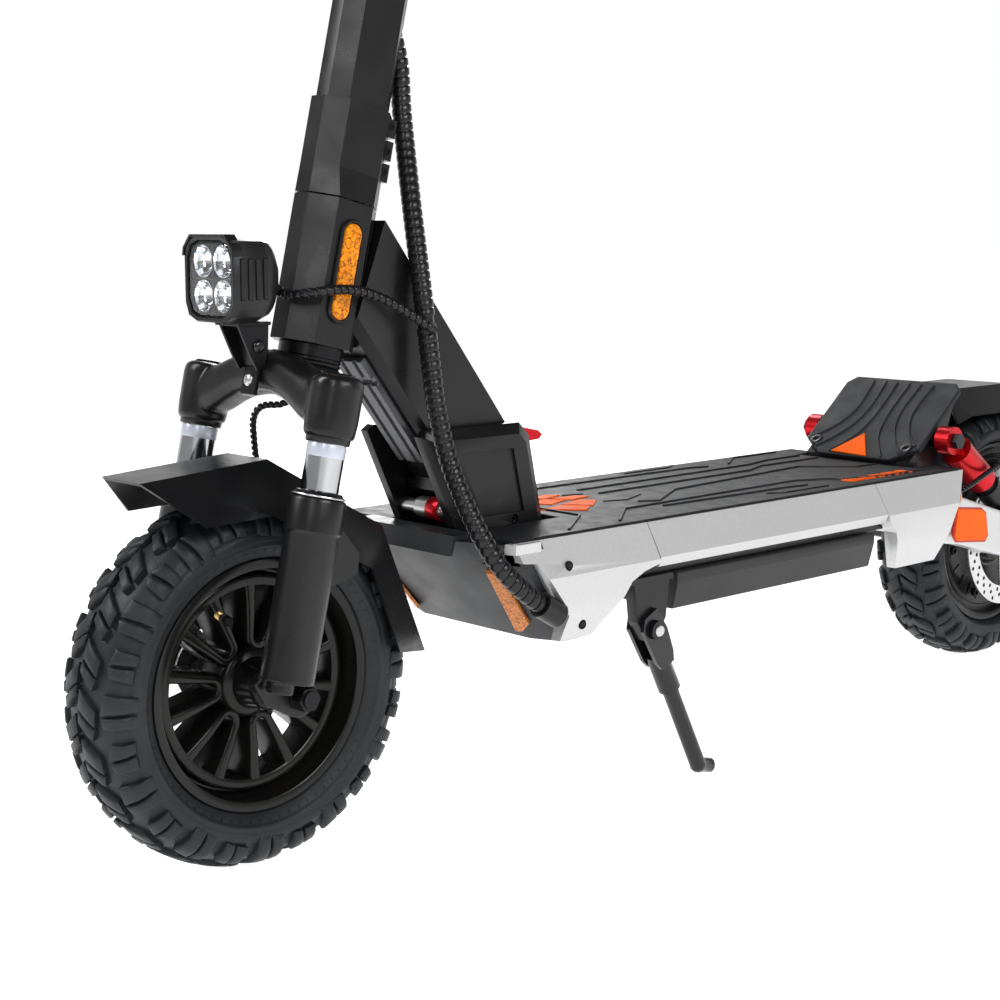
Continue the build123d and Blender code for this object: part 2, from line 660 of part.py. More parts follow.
def brake_lever():
    """Left brake lever: a flat blade that hooks outwards in front of the grip."""
    x = LEVER_X - 4
    outline = [(x - 7, LEVER_T - 7), (x + 6, LEVER_T - 9), (x + 34, -50), (x + 118, -48), (x + 130, -54),
               (x + 134, -49), (x + 120, -41), (x + 34, -41), (x + 10, LEVER_T + 6), (x - 7, LEVER_T + 6)]
    blade = plan(outline, BAR_S - 4.5, BAR_S + 4.5)
    blade -= rod((x, LEVER_T, BAR_S - 9), (x, LEVER_T, BAR_S + 9), 2.5 + RUNNING)
    return in_steer(blade)


def throttle_paddle():
    """Thumb paddle under the right-hand side of the bar."""
    paddle = block(-126, -118, -5, 5, BAR_S - 26, BAR_S - 17)
    paddle += block(-126, -118, -4, 34, BAR_S - 33, BAR_S - 26)
    paddle += block(-134, -110, 20, 36, BAR_S - 35, BAR_S - 29)
    paddle -= rod((-140, 0, BAR_S - 21), (-100, 0, BAR_S - 21), 2.5 + RUNNING)
    return in_steer(paddle)


LAMP_Z = 400.0
LAMP_FRONT = -468.0


def headlight_housing():
    """Rounded square lamp case, hollow at the front, with a visor lip."""
    def rounded(size, radius, y):
        return Plane(origin=(0, y, LAMP_Z), x_dir=(1, 0, 0), z_dir=(0, 1, 0)) * RectangleRounded(
            size, size, radius)

    case = loft([rounded(57, 14, LAMP_FRONT), rounded(58, 16, LAMP_FRONT + 26)])
    case += loft([rounded(58, 16, LAMP_FRONT + 26), rounded(36, 14, LAMP_FRONT + 42)])
    case -= loft([rounded(51, 12, LAMP_FRONT - 1), rounded(49, 12, LAMP_FRONT + 14)])
    case -= rod((0, LAMP_FRONT + 37, LAMP_Z), (0, LAMP_FRONT + 43, LAMP_Z), LEAD_D / 2 + 1.5)
    visor = block(-22, 22, LAMP_FRONT - 5, LAMP_FRONT + 4, LAMP_Z + 26, LAMP_Z + 29)
    return case + visor


def headlight_lens():
    """Clear cover over the lamp's front."""
    face = Plane(origin=(0, LAMP_FRONT + 1, LAMP_Z), x_dir=(1, 0, 0), z_dir=(0, 1, 0)) * RectangleRounded(
        50, 50, 11.5)
    return extrude(face, amount=2.5, dir=(0, 1, 0))


def headlight_bracket():
    """Sheet bracket from the crown up to a fork round the sides of the lamp."""
    foot = in_steer(block(-8, 8, -45, -42, 192, 216))
    strap = side([(-437.5, 344), (-434.8, 344.6), (-440.6, 366), (-443.4, 366)], -8, 8)
    yoke = block(-32, 32, -446, -438, LAMP_Z - 34, LAMP_Z - 31)
    body = foot + strap + yoke
    for x in (-32, 29.3):
        body += block(x, x + 2.7, -449, -435, LAMP_Z - 34, LAMP_Z + 4)
    screw = rod((0, -437.5, 357), (0, -433.5, 358), 3.6)
    for sign in (-1, 1):
        start, end = sorted((sign * 29.1, sign * 35))
        body += cross_rod(-442, LAMP_Z - 4, start, end, 4)
    return body + screw


# ---------------------------------------------------------------- fork lowers and front wheel


def sliders():
    """Fork sliders with collars and cast dropouts round the axle."""
    legs = []
    for sign in (-1, 1):
        x = sign * LEG_X
        leg = rod((x, LEG_T, SLIDER_LOW), (x, LEG_T, SLIDER_TOP - 23), SLIDER_R)
        leg += rod((x, LEG_T, SLIDER_TOP - 23), (x, LEG_T, SLIDER_TOP), SLIDER_R + 1.2)
        leg += rod((x, LEG_T - 4, SLIDER_LOW - 8), (x, LEG_T - 4, SLIDER_LOW + 1), 9)
        leg -= rod((x, LEG_T, 14), (x, LEG_T, SLIDER_TOP + 1), STANCHION_R + 0.4)
        leg = in_steer(leg)
        inner, outer = sorted((sign * DROPOUT_IN, sign * DROPOUT_OUT))
        leg += cross_rod(FRONT_Y, AXLE_Z, inner, outer, 14)
        web = [(-486, 142), (-478, 128), (FRONT_Y - 6, AXLE_Z - 12.5), (FRONT_Y + 10, AXLE_Z + 9.5),
               (-447, 150), (-462, 158)]
        near, far = sorted((sign * (DROPOUT_IN + 2), sign * DROPOUT_OUT))
        leg += side(web, near, far)
        near, far = sorted((sign * (37 if sign > 0 else 48), sign * DROPOUT_IN))
        leg += cross_rod(FRONT_Y, AXLE_Z, near, far, 8.5)
        leg -= in_steer(rod((x, LEG_T, 14), (x, LEG_T, SLIDER_TOP), STANCHION_R + 0.4))
        legs.append(leg - cross_rod(FRONT_Y, AXLE_Z, -100, 100, 6))
    return group(legs)


def front_axle():
    """Through axle with washers and hexagon nuts."""
    end = DROPOUT_OUT + 13
    axle = cross_rod(FRONT_Y, AXLE_Z, -end, end, 6)
    for sign in (-1, 1):
        start, stop = sorted((sign * DROPOUT_OUT, sign * (DROPOUT_OUT + 2)))
        axle += cross_rod(FRONT_Y, AXLE_Z, start, stop, 9)
        start, stop = sorted((sign * (DROPOUT_OUT + 2), sign * (DROPOUT_OUT + 11)))
        axle += hexagon(FRONT_Y, AXLE_Z, start, stop, 15)
    return axle


FENDER_RIDGE = [(-540, 274), (-442, 281), (-344, 225), (-305, 128)]
FENDER_SIDE = [(-507, 245), (-455, 247), (-373, 201), (-349, 138)]


def front_fender():
    """Folded fender: three roofed panels over the tyre, on two straps from the legs."""
    solid = folded(roof_sections(FENDER_RIDGE, FENDER_SIDE, 23, 48, FRONT_Y, 2.4))
    for sign in (-1, 1):
        inner, outer = sorted((sign * 45.5, sign * 50))
        solid += side([(-428, 236), (-404, 236), (-386, 214), (-388, 200), (-410, 194), (-431, 208)],
                      inner, outer)
        near, far = sorted((sign * 49, sign * 58))
        solid += side([(-431, 224), (-412, 226), (-412, 206), (-431, 208)], near, far)
    return solid


def caliper(y, angle, x0, x1, disc_x):
    """Brake caliper astride a disc, its bridge outside the disc's edge."""
    body = block(x0, x1, CALIPER_IN, CALIPER_OUT, -14, 14)
    body -= block(disc_x - 2.4, disc_x + 2.4, CALIPER_IN - 1, DISC_R + 2, -15, 15)
    return Pos(0, y, AXLE_Z) * Rot(angle, 0, 0) * body


def front_caliper():
    """Front caliper and its plate, bolted to the inside of the right slider."""
    plate = side([(-472, 158), (-464, 196), (-446, 198), (-404, 184), (-388, 168), (-398, 148),
                  (-440, 152)], -55, -50)
    plate -= in_steer(rod((-LEG_X, LEG_T, -20), (-LEG_X, LEG_T, 200), SLIDER_R + 0.02))
    return plate + caliper(FRONT_Y, FRONT_CALIPER_ANGLE, -58, -36, FRONT_DISC_X)


def front_rim():
    """Cast wheel: flanged barrel, seven petal loops and a hub."""
    barrel = spun([(-26, RIM_R), (-22, RIM_R), (-20, 83), (-9, 79), (9, 79), (20, 83), (22, RIM_R),
                   (26, RIM_R), (26, 81), (22, 76), (12, 74), (-12, 74), (-22, 76), (-26, 81)],
                  FRONT_Y, AXLE_Z)
    hub = spun([(-47, 6 + RUNNING), (-47, 13), (-38, 13), (-20, 20), (20, 20), (36, 14), (36, 6 + RUNNING)],
               FRONT_Y, AXLE_Z)
    petal = None
    for sign in (-1, 1):
        tip = Vector(12.5, sign * 7, 0)
        lift = 12.86 * sign
        rim_point = Vector(75.5 * cos(radians(lift)), 75.5 * sin(radians(lift)), 0)
        root = Vector(32, sign * 7.2, 0)
        arm = rim_point - root
        half = Vector(-arm.Y, arm.X, 0).normalized() * 3.2
        corners = [root + half, rim_point + half * 1.5, rim_point - half * 1.5, root - half]
        face = Face(Wire.make_polygon(corners, close=True))
        piece = extrude(face, amount=30, dir=(0, 0, 1))
        petal = piece if petal is None else petal + piece
    bend = Pos(32, 0, 0) * Cylinder(10.4, 30, align=(Align.CENTER, Align.CENTER, Align.MIN))
    bend -= Pos(32, 0, 0) * Cylinder(4.0, 30, align=(Align.CENTER, Align.CENTER, Align.MIN))
    bend -= Pos(33, -4, 0) * Box(20, 8, 30, align=Align.MIN)
    web = Pos(14, -6, 0) * Box(12, 12, 30, align=Align.MIN)
    petal = petal + bend + web
    wheel = barrel + hub
    turn = Plane(origin=(-16, FRONT_Y, AXLE_Z), x_dir=(0, 1, 0), z_dir=(1, 0, 0))
    for k in range(7):
        wheel += turn.location * (Rot(0, 0, 26 + k * 360 / 7) * petal)
    wheel -= cross_rod(FRONT_Y, AXLE_Z, -50, 50, 6 + RUNNING)
    return wheel


def tyre(y, bead_r, bead_half):
    """Tyre carcass with a rounded tread, hollow round the rim."""
    outer = [(-bead_half, bead_r), (-31, 93), (-TYRE_HALF + 1, 100), (-TYRE_HALF, 107), (-33.5, 114),
             (-29, 120), (-20, 125.5), (-8, TYRE_R)]
    inner = [(bead_half - 4, bead_r), (24, 95), (29, 104), (26, 115)]
    outer += [(-x, radius) for x, radius in reversed(outer)]
    inner += [(-x, radius) for x, radius in reversed(inner)]
    return spun(outer + inner, y, AXLE_Z)


def brake_disc(y, x, bore):
    """Drilled brake disc with five carrier arms."""
    ring = cross_rod(y, AXLE_Z, x - 1, x + 1, DISC_R) - cross_rod(y, AXLE_Z, x - 2, x + 2, 53)
    core = cross_rod(y, AXLE_Z, x - 1, x + 1, 25)
    disc = ring + core
    for k in range(5):
        angle = radians(72 * k + 20)
        reach = 56
        start = Vector(x - 1, y, AXLE_Z)
        radial = Vector(0, cos(angle), sin(angle))
        skew = Vector(0, cos(angle + 0.5), sin(angle + 0.5))
        normal = Vector(0, -sin(angle), cos(angle)) * 5
        corners = [start + radial * 18 + normal, start + skew * reach + normal,
                   start + skew * reach - normal, start + radial * 18 - normal]
        disc += extrude(Face(Wire.make_polygon(corners, close=True)), amount=2, dir=(1, 0, 0))
    for k in range(24):
        for lane, radius in enumerate((57, 62, 67)):
            angle = 2 * pi * (k + lane / 3) / 24
            disc -= cross_rod(y + radius * cos(angle), AXLE_Z + radius * sin(angle), x - 2, x + 2, 1.9)
    return disc - cross_rod(y, AXLE_Z, x - 5, x + 5, bore)


# ---------------------------------------------------------------- swing arm, rear wheel, shocks


def swing_arm():
    """Cast swing arm: two side arms, a cross beam and the pivot tube."""
    outline = [(297, 186), (367, 165), (430, 147), (462, 146), (474, 138), (474, 118), (462, 110),
               (430, 108), (369, 121.6), (300, 140), (257, 147), (262, 162)]
    inner = [(304, 178), (367, 160), (430, 147), (462, 146), (462, 110), (430, 108), (369, 121.6),
             (304, 139)]
    arm = side(outline, 72, 86) + side(inner, 62, 86)
    arm -= side([(352, 190), (352, 146), (420, 132), (430, 190)], 68, 80)
    arm -= side([(283, 174), (312, 166), (306, 148), (270, 154), (272, 160)], 84, 90)
    body = arm + mirrored(arm) + block(-72, 72, 298, 314, 142, 176)
    body += cross_rod(SWING_Y, SWING_Z, -58, 58, 13)
    for x in (-58, 50):
        body += side([(278, 156), (300, 146), (300, 176), (278, 178)], x, x + 8)
    body -= cross_rod(SWING_Y, SWING_Z, -100, 100, 6 + RUNNING)
    body -= block(-71, -59, 250, 297, 130, 200) + block(59, 71, 250, 297, 130, 200)
    body -= cross_rod(REAR_Y, AXLE_Z, -100, 100, 7)
    body -= cross_rod(SHOCK_LOW_Y, SHOCK_LOW_Z, -100, 100, 4.5)
    ear = side([(376, 158), (382, 174), (398, 176), (406, 166), (408, 148)], 0, 4)
    for x in (64, 80.2):
        body += Pos(x, 0, 0) * ear + Pos(-x - 4, 0, 0) * ear
    body -= cross_rod(SHOCK_LOW_Y, SHOCK_LOW_Z, -100, 100, 4.5)
    return body


def swing_hardware():
    """Rear axle with nuts, and the two lower shock bolts."""
    axle = cross_rod(REAR_Y, AXLE_Z, -94, 94, 7)
    for x0, x1 in ((-94, -86), (86, 94)):
        axle += hexagon(REAR_Y, AXLE_Z, x0, x1, 21)
    bolt = cross_rod(SHOCK_LOW_Y, SHOCK_LOW_Z, 62, 88, 4.5)
    bolt += hexagon(SHOCK_LOW_Y, SHOCK_LOW_Z, 86, 90, 12)
    return group(axle, both(bolt))


def swing_reflectors():
    """Square amber reflectors let into the outside of the swing arm."""
    return group(both(side([(286, 172), (310, 165), (305, 150), (274, 155), (275, 159)], 84, 86.5)))


def rear_caliper():
    """Rear caliper over the disc, on a plate held by the axle."""
    plate = side([(438, 142), (462, 142), (500, 178), (496, 196), (474, 196), (440, 150)], 50, 55)
    boss = cross_rod(REAR_Y, AXLE_Z, 50, 61.8, 18) - cross_rod(REAR_Y, AXLE_Z, 49, 62, 7)
    return plate + boss + caliper(REAR_Y, REAR_CALIPER_ANGLE, 35, 53, REAR_DISC_X)


def rear_fender():
    """Rear mudguard: roofed panels over the tyre with stays to the swing arm."""
    ridge = [(347, 271), (372, 279), (452, 279), (520, 256), (565, 205)]
    edge = [(352, 246), (375, 252), (450, 252), (505, 234), (541, 192)]
    solid = folded(roof_sections(ridge, edge, 34, 45, REAR_Y, 2.4))
    for sign in (-1, 1):
        inner, outer = sorted((sign * 64, sign * 68))
        solid += side([(436, 147), (464, 147), (458, 256), (442, 256)], inner, outer)
        near, far = sorted((sign * 42.6, sign * 68))
        solid += block(near, far, 442, 458, 252, 256)
    return solid


def hub_motor():
    """Hub motor shell with a cast rim and bolted side covers."""
    shell = spun([(-26, 91), (-22, 91), (-20, 86), (20, 86), (22, 91), (26, 91), (26, 84), (21, 80),
                  (22, 34), (30, 28), (34, 7 + RUNNING), (-34, 7 + RUNNING), (-30, 28), (-22, 34),
                  (-21, 80), (-26, 84)], REAR_Y, AXLE_Z)
    for k in range(6):
        angle = 2 * pi * k / 6 + 0.2
        y, z = REAR_Y + 62 * cos(angle), AXLE_Z + 62 * sin(angle)
        shell += cross_rod(y, z, 20, 23.5, 4.5)
    return shell


def shock_axis(distance):
    """Point on the left shock's centre line, measured from the upper eye."""
    top = Vector(SHOCK_X, SHOCK_TOP_Y, SHOCK_TOP_Z)
    low = Vector(SHOCK_X, SHOCK_LOW_Y, SHOCK_LOW_Z)
    return tuple(top + (low - top).normalized() * distance)


def shock_bodies():
    """Red upper halves of the two air shocks."""
    body = cross_rod(SHOCK_TOP_Y, SHOCK_TOP_Z, SHOCK_X - 7, SHOCK_X + 7, 13)
    body += rod(shock_axis(8), shock_axis(19), 6.8)
    body += rod(shock_axis(17), shock_axis(72), 14.5)
    body -= rod(shock_axis(26), shock_axis(73), 10.3)
    body -= cross_rod(SHOCK_TOP_Y, SHOCK_TOP_Z, SHOCK_X - 20, SHOCK_X + 20, 5 + RUNNING)
    return group(both(body))


def shock_rods():
    """Lower halves with their eyes, sliding in the shock bodies."""
    length = ((SHOCK_LOW_Y - SHOCK_TOP_Y) ** 2 + (SHOCK_LOW_Z - SHOCK_TOP_Z) ** 2) ** 0.5
    piece = rod(shock_axis(44), shock_axis(84), 10)
    piece += rod(shock_axis(82), shock_axis(length - 25), 13)
    neck = rod(shock_axis(length - 26), shock_axis(length - 4), 8)
    piece += neck & block(SHOCK_X - 5, SHOCK_X + 5, 300, 500, 100, 300)
    piece += cross_rod(SHOCK_LOW_Y, SHOCK_LOW_Z, SHOCK_X - 5, SHOCK_X + 5, 10)
    return group(both(piece - cross_rod(SHOCK_LOW_Y, SHOCK_LOW_Z, 0, 120, 5.1)))


# ---------------------------------------------------------------- cables

def cable_upper():
    """Cable bundle from the stem to the tie beside the beam."""
    return cable(BUNDLE_UPPER, BUNDLE_D)


def cable_lower():
    """Cable bundle from the tie past the fold bracket into the gland."""
    return cable(BUNDLE_LOWER, BUNDLE_D)


def headlight_lead():
    """Sleeved lead from the back of the lamp round the head tube to the bundle."""
    return cable([(0, LAMP_FRONT + 39, LAMP_Z), (0, -420, LAMP_Z - 4), (12, -417, 388), (30, -409, 390),
                  (37, -390, 393), (38, -365, 390), (45, -337, 376), (52, -318, 362)], LEAD_D)


def caliper_top(y, angle, x, above):
    """Point above the outer end of a caliper."""
    reach = CALIPER_OUT + above
    return (x, y + reach * cos(radians(angle)), AXLE_Z + reach * sin(radians(angle)))


def front_brake_hose():
    """Hose out of the hollow steerer, behind the crown and down to the front caliper."""
    return cable([steer_point(0, 2, 215), steer_point(-6, 0, 188), (-38, -411, 312), (-49, -401, 274),
                  (-60, -388, 238), (-58, -372, 206), caliper_top(FRONT_Y, FRONT_CALIPER_ANGLE, -54, 13),
                  caliper_top(FRONT_Y, FRONT_CALIPER_ANGLE, -54, 0.1)], HOSE_D)


def rear_brake_hose():
    """Hose from the chassis over the swing arm to the rear caliper."""
    return cable([(84, TUB_REAR, 188), (84, 268, 188), (93, 291, 194), (93, 329, 206.4), (93, 362, 217),
                  (92, 425, 223), (80, 480, 218), caliper_top(REAR_Y, REAR_CALIPER_ANGLE, 48, 18),
                  caliper_top(REAR_Y, REAR_CALIPER_ANGLE, 48, 2)], HOSE_D)


def lever_hoses():
    """Two brake hoses and the throttle wire from the handlebar into the stem."""
    hoses = []
    for sign in (-1, 1):
        route = [(sign * (LEVER_X - 25), -22, BAR_S), (sign * (LEVER_X - 48), -28, BAR_S - 2),
                 (sign * 66, -50, BAR_S - 14), (sign * 22, -58, BAR_S - 44), (sign * 8, -42, 1017),
                 (sign * 8, -22, 1015)]
        hoses.append(cable([steer_point(*point) for point in route], HOSE_D))
    wire = [(-110.4, -2, BAR_S - 14), (-90, -14, BAR_S - 22), (-40, -42, BAR_S - 46),
            (-6, -52, 1034), (0, -38, 1017), (0, -22, 1015)]
    hoses.append(cable([steer_point(*point) for point in wire], 4))
    return group(hoses)


def save(name, shape):
    solids = shape.solids()
    export_step(solids[0] if len(solids) == 1 else Compound(children=list(solids)), f"parts/{name}.step")


NODES = {
    "deck_frame": deck_frame,
    "left_castings": lambda: group(castings()),
    "right_castings": lambda: group([mirrored(piece) for piece in castings()]),
    "nose_cover": nose_cover,
    "corner_reflectors": corner_reflectors,
    "deck_mat": deck_mat,
    "battery_pack": battery_pack,
    "controller": controller,
    "fold_plates": fold_plates,
    "fold_pins": fold_pins,
    "latch_lever": latch_lever,
    "kick_plate": kick_plate,
    "kick_pad": kick_pad,
    "cable_gland": cable_gland,
    "kickstand_bracket": kickstand_bracket,
    "kickstand_leg": kickstand_leg,
    "deck_fixings": deck_fixings,
    "main_frame": main_frame,
    "beam_cover": beam_cover,
    "head_reflectors": head_reflectors,
    "headset_bearings": headset_bearings,
    "crown": crown,
    "stanchions": stanchions,
    "stem_clamp": stem_clamp,
    "clamp_bolts": clamp_bolts,
    "stem": stem,
    "handlebar": handlebar,
    "grips": grips,
    "display": display,
    "power_button": power_button,
    "bar_controls": bar_controls,
    "brake_lever_left": brake_lever,
    "brake_lever_right": lambda: mirrored(brake_lever()),
    "throttle_paddle": throttle_paddle,
    "headlight_bracket": headlight_bracket,
    "headlight_housing": headlight_housing,
    "headlight_lens": headlight_lens,
    "sliders": sliders,
    "front_axle": front_axle,
    "front_fender": front_fender,
    "front_caliper": front_caliper,
    "front_rim": front_rim,
    "front_tyre": lambda: tyre(FRONT_Y, RIM_R, 26),
    "front_disc": lambda: brake_disc(FRONT_Y, FRONT_DISC_X, 13),
    "swing_arm": swing_arm,
    "swing_hardware": swing_hardware,
    "swing_reflectors": swing_reflectors,
    "rear_caliper": rear_caliper,
    "rear_fender": rear_fender,
    "rear_tyre": lambda: tyre(REAR_Y, 91, 26),
    "hub_motor": hub_motor,
    "rear_disc": lambda: brake_disc(REAR_Y, REAR_DISC_X, 7 + RUNNING),
    "shock_bodies": shock_bodies,
    "shock_rods": shock_rods,
    "cable_upper": cable_upper,
    "cable_lower": cable_lower,
    "headlight_lead": headlight_lead,
    "front_brake_hose": front_brake_hose,
    "rear_brake_hose": rear_brake_hose,
    "lever_hoses": lever_hoses,
}

os.makedirs("parts", exist_ok=True)
for node, make in NODES.items():
    save(node, make())
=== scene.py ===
import json
from math import atan2, cos, hypot, pi, radians, sin

import bmesh
import bpy
import numpy as np
from mathutils import Matrix, Vector


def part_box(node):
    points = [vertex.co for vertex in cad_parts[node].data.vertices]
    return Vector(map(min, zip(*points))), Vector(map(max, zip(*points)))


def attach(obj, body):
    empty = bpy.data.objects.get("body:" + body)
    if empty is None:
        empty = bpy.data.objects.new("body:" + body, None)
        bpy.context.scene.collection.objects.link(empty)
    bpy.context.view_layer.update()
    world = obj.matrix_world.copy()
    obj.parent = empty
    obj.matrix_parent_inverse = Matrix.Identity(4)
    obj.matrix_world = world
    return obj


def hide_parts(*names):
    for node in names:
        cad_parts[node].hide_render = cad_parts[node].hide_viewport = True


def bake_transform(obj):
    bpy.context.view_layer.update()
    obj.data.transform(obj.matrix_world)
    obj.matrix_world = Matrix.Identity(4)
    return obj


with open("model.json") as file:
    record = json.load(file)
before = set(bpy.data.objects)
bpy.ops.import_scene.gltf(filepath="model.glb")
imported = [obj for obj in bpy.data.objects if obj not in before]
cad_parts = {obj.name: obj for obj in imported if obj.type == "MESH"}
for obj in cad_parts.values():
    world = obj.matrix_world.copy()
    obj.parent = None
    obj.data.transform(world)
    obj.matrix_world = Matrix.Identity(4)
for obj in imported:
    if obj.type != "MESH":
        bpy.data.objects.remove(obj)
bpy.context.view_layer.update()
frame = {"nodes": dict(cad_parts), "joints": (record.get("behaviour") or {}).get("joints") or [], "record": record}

MM = 0.001
RECORD = frame["record"]
NODES = frame["nodes"]
SLOT_OF = {row["node"]: row["material_slot"] for row in RECORD["subparts"]}
BODY_OF = {node: body for body, nodes in RECORD["behaviour"]["bodies"].items() for node in nodes}
JOINTS = {row["name"]: row for row in frame["joints"]}
FRONT_AXLE = Vector(JOINTS["front_spin"]["pos_m"])
REAR_AXLE = Vector(JOINTS["rear_spin"]["pos_m"])


# ------------------------------------------------------------ frames of reference

STEER_AXIS = Vector(JOINTS["steer"]["axis"]).normalized()
STEER = Matrix.Translation(JOINTS["steer"]["pos_m"]) @ Matrix(
    (Vector((1, 0, 0)), STEER_AXIS.cross(Vector((1, 0, 0))), STEER_AXIS)).transposed().to_4x4()
ACROSS = Matrix(((0, 0, 1, 0), (1, 0, 0, 0), (0, 1, 0, 0), (0, 0, 0, 1)))


def steer(x, t, s):
    """Point of the steering frame, given in millimetres: s up the steering axis, t backwards."""
    return STEER @ Vector((x * MM, t * MM, s * MM))


def point(x, y, z):
    return Vector((x * MM, y * MM, z * MM))


def across(centre):
    """Places a shape turned about its own Z axis on an axle along X."""
    return Matrix.Translation(centre) @ ACROSS


def aimed(start, direction):
    """Places a shape's Z axis at start, along a direction."""
    turn = Vector(direction).to_track_quat("Z", "Y")
    return Matrix.Translation(start) @ turn.to_matrix().to_4x4()


# ------------------------------------------------------------ camera and light


def make_camera():
    camera = bpy.data.objects.new("camera", bpy.data.cameras.new("camera"))
    camera.location = (0.98862, -1.1317, 0.43477)
    camera.rotation_euler = (radians(81.24), 0, radians(46.96))
    camera.data.lens = 64.18
    camera.data.sensor_width = 36.0
    bpy.context.scene.collection.objects.link(camera)
    bpy.context.scene.camera = camera


def softbox(name, location, target, size, power):
    light = bpy.data.lights.new(name, "AREA")
    light.shape = "RECTANGLE"
    light.size, light.size_y = size
    light.energy = power
    lamp = bpy.data.objects.new(name, light)
    lamp.location = location
    lamp.rotation_euler = (Vector(target) - Vector(location)).to_track_quat("-Z", "Y").to_euler()
    bpy.context.scene.collection.objects.link(lamp)


def limited(node, *limits):
    """Sets the From Min, From Max, To Min and To Max of a range node."""
    for key, value in zip(("From Min", "From Max", "To Min", "To Max"), limits):
        node.inputs[key].default_value = value


def make_studio():
    """Bright horizon behind the scooter, darker ceiling and front, and four softboxes."""
    world = bpy.data.worlds.new("studio")
    world.use_nodes = True
    tree = world.node_tree
    background = tree.nodes["Background"]
    background.inputs["Color"].default_value = (1, 1, 1, 1)
    direction = tree.nodes.new("ShaderNodeTexCoord").outputs["Generated"]
    brightness = tree.nodes.new("ShaderNodeMath")
    brightness.operation = "MULTIPLY"
    fades = (((0, 0, 1), 0.14, 0.5, 1.0, 0.12), ((-0.66, 0.75, 0), 0.2, 0.7, 0.46, 1.0))
    for number, (towards, *limits) in enumerate(fades):
        turned_to = tree.nodes.new("ShaderNodeVectorMath")
        turned_to.operation = "DOT_PRODUCT"
        turned_to.inputs[1].default_value = towards
        fade = tree.nodes.new("ShaderNodeMapRange")
        limited(fade, *limits)
        tree.links.new(direction, turned_to.inputs[0])
        tree.links.new(turned_to.outputs["Value"], fade.inputs["Value"])
        tree.links.new(fade.outputs["Result"], brightness.inputs[number])
    tree.links.new(brightness.outputs["Value"], background.inputs["Strength"])
    scene = bpy.context.scene
    scene.world = world
    scene.view_settings.view_transform = "Standard"
    softbox("key", (-1.2, -2.2, 2.2), (0, -0.3, 0.2), (0.6, 1.8), 56)
    softbox("side", (2.4, -0.2, 1.5), (0, 0, 0.2), (1.6, 0.7), 34)
    softbox("back", (-1.8, 1.2, 1.5), (0, -0.2, 0.3), (0.6, 1.6), 34)
    softbox("front", (1.5, -2.3, 1.9), (0, -0.2, 0.35), (0.35, 1.6), 16)


make_camera()


# ------------------------------------------------------------ materials


class Nodes:
    """Short-hand for building one material's node tree."""

    def __init__(self, name):
        self.material = bpy.data.materials.new(name)
        self.material.use_nodes = True
        self.tree = self.material.node_tree
        self.shader = self.tree.nodes["Principled BSDF"]
        self.place = self.add("ShaderNodeTexCoord").outputs["Object"]

    def add(self, kind, **sockets):
        node = self.tree.nodes.new(kind)
        for key, value in sockets.items():
            socket = node.inputs[key.replace("_", " ")]
            if isinstance(value, bpy.types.NodeSocket):
                self.tree.links.new(value, socket)
            else:
                socket.default_value = value
        return node

    def stretched(self, scale):
        return self.add("ShaderNodeMapping", Vector=self.place, Scale=scale).outputs["Vector"]

    def noise(self, scale, detail=3.0, vector=None):
        node = self.add("ShaderNodeTexNoise", Scale=scale, Detail=detail, Vector=vector or self.place)
        return node.outputs["Fac"]

    def cells(self, scale, feature="F1", output="Distance"):
        node = self.add("ShaderNodeTexVoronoi", Scale=scale, Vector=self.place)
        node.feature = feature
        return node.outputs[output]

    def ramp(self, value, low, high, to_low=0.0, to_high=1.0):
        node = self.add("ShaderNodeMapRange", Value=value)
        limited(node, low, high, to_low, to_high)
        return node.outputs["Result"]

    def mix(self, factor, first, second):
        node = self.tree.nodes.new("ShaderNodeMix")
        node.data_type = "RGBA"
        self.tree.links.new(factor, node.inputs["Factor"])
        for key, value in (("A", first), ("B", second)):
            socket = next(s for s in node.inputs if s.name == key and s.type == "RGBA")
            if isinstance(value, bpy.types.NodeSocket):
                self.tree.links.new(value, socket)
            else:
                socket.default_value = (*value, 1)
        return next(s for s in node.outputs if s.type == "RGBA")

    def bump(self, height, strength, distance, below=None):
        node = self.add("ShaderNodeBump", Height=height, Strength=strength, Distance=distance)
        if below is not None:
            self.tree.links.new(below, node.inputs["Normal"])
        return node.outputs["Normal"]

    def drive(self, socket, output):
        self.tree.links.new(output, self.shader.inputs[socket])

    def fixed(self, **sockets):
        for key, value in sockets.items():
            self.shader.inputs[key.replace("_", " ")].default_value = value


def shade(colour, factor):
    return tuple(min(1.0, channel * factor) for channel in colour)


def coated(name, colour, rough, metal=0.0, grain=900.0, relief=0.12, wear=0.25, **fixed):
    """Paint, plastic or rubber: fine grain, drifting tone and roughness, and small lighter scuffs."""
    n = Nodes(name)
    drift = n.ramp(n.noise(9.0, 4.0), 0.35, 0.65)
    tone = n.mix(drift, shade(colour, 0.86), shade(colour, 1.14))
    scuffs = n.ramp(n.noise(60.0, 8.0), 0.66, 0.82, 0.0, wear)
    n.drive("Base Color", n.mix(scuffs, tone, shade(colour, 1.9)))
    n.drive("Roughness", n.ramp(n.noise(38.0, 6.0), 0.3, 0.7, rough - 0.06, rough + 0.07))
    n.drive("Normal", n.bump(n.noise(grain, 2.0), relief, 0.0003))
    n.fixed(**{"Metallic": metal, "Specular_IOR_Level": 0.35, **fixed})
    return n.material


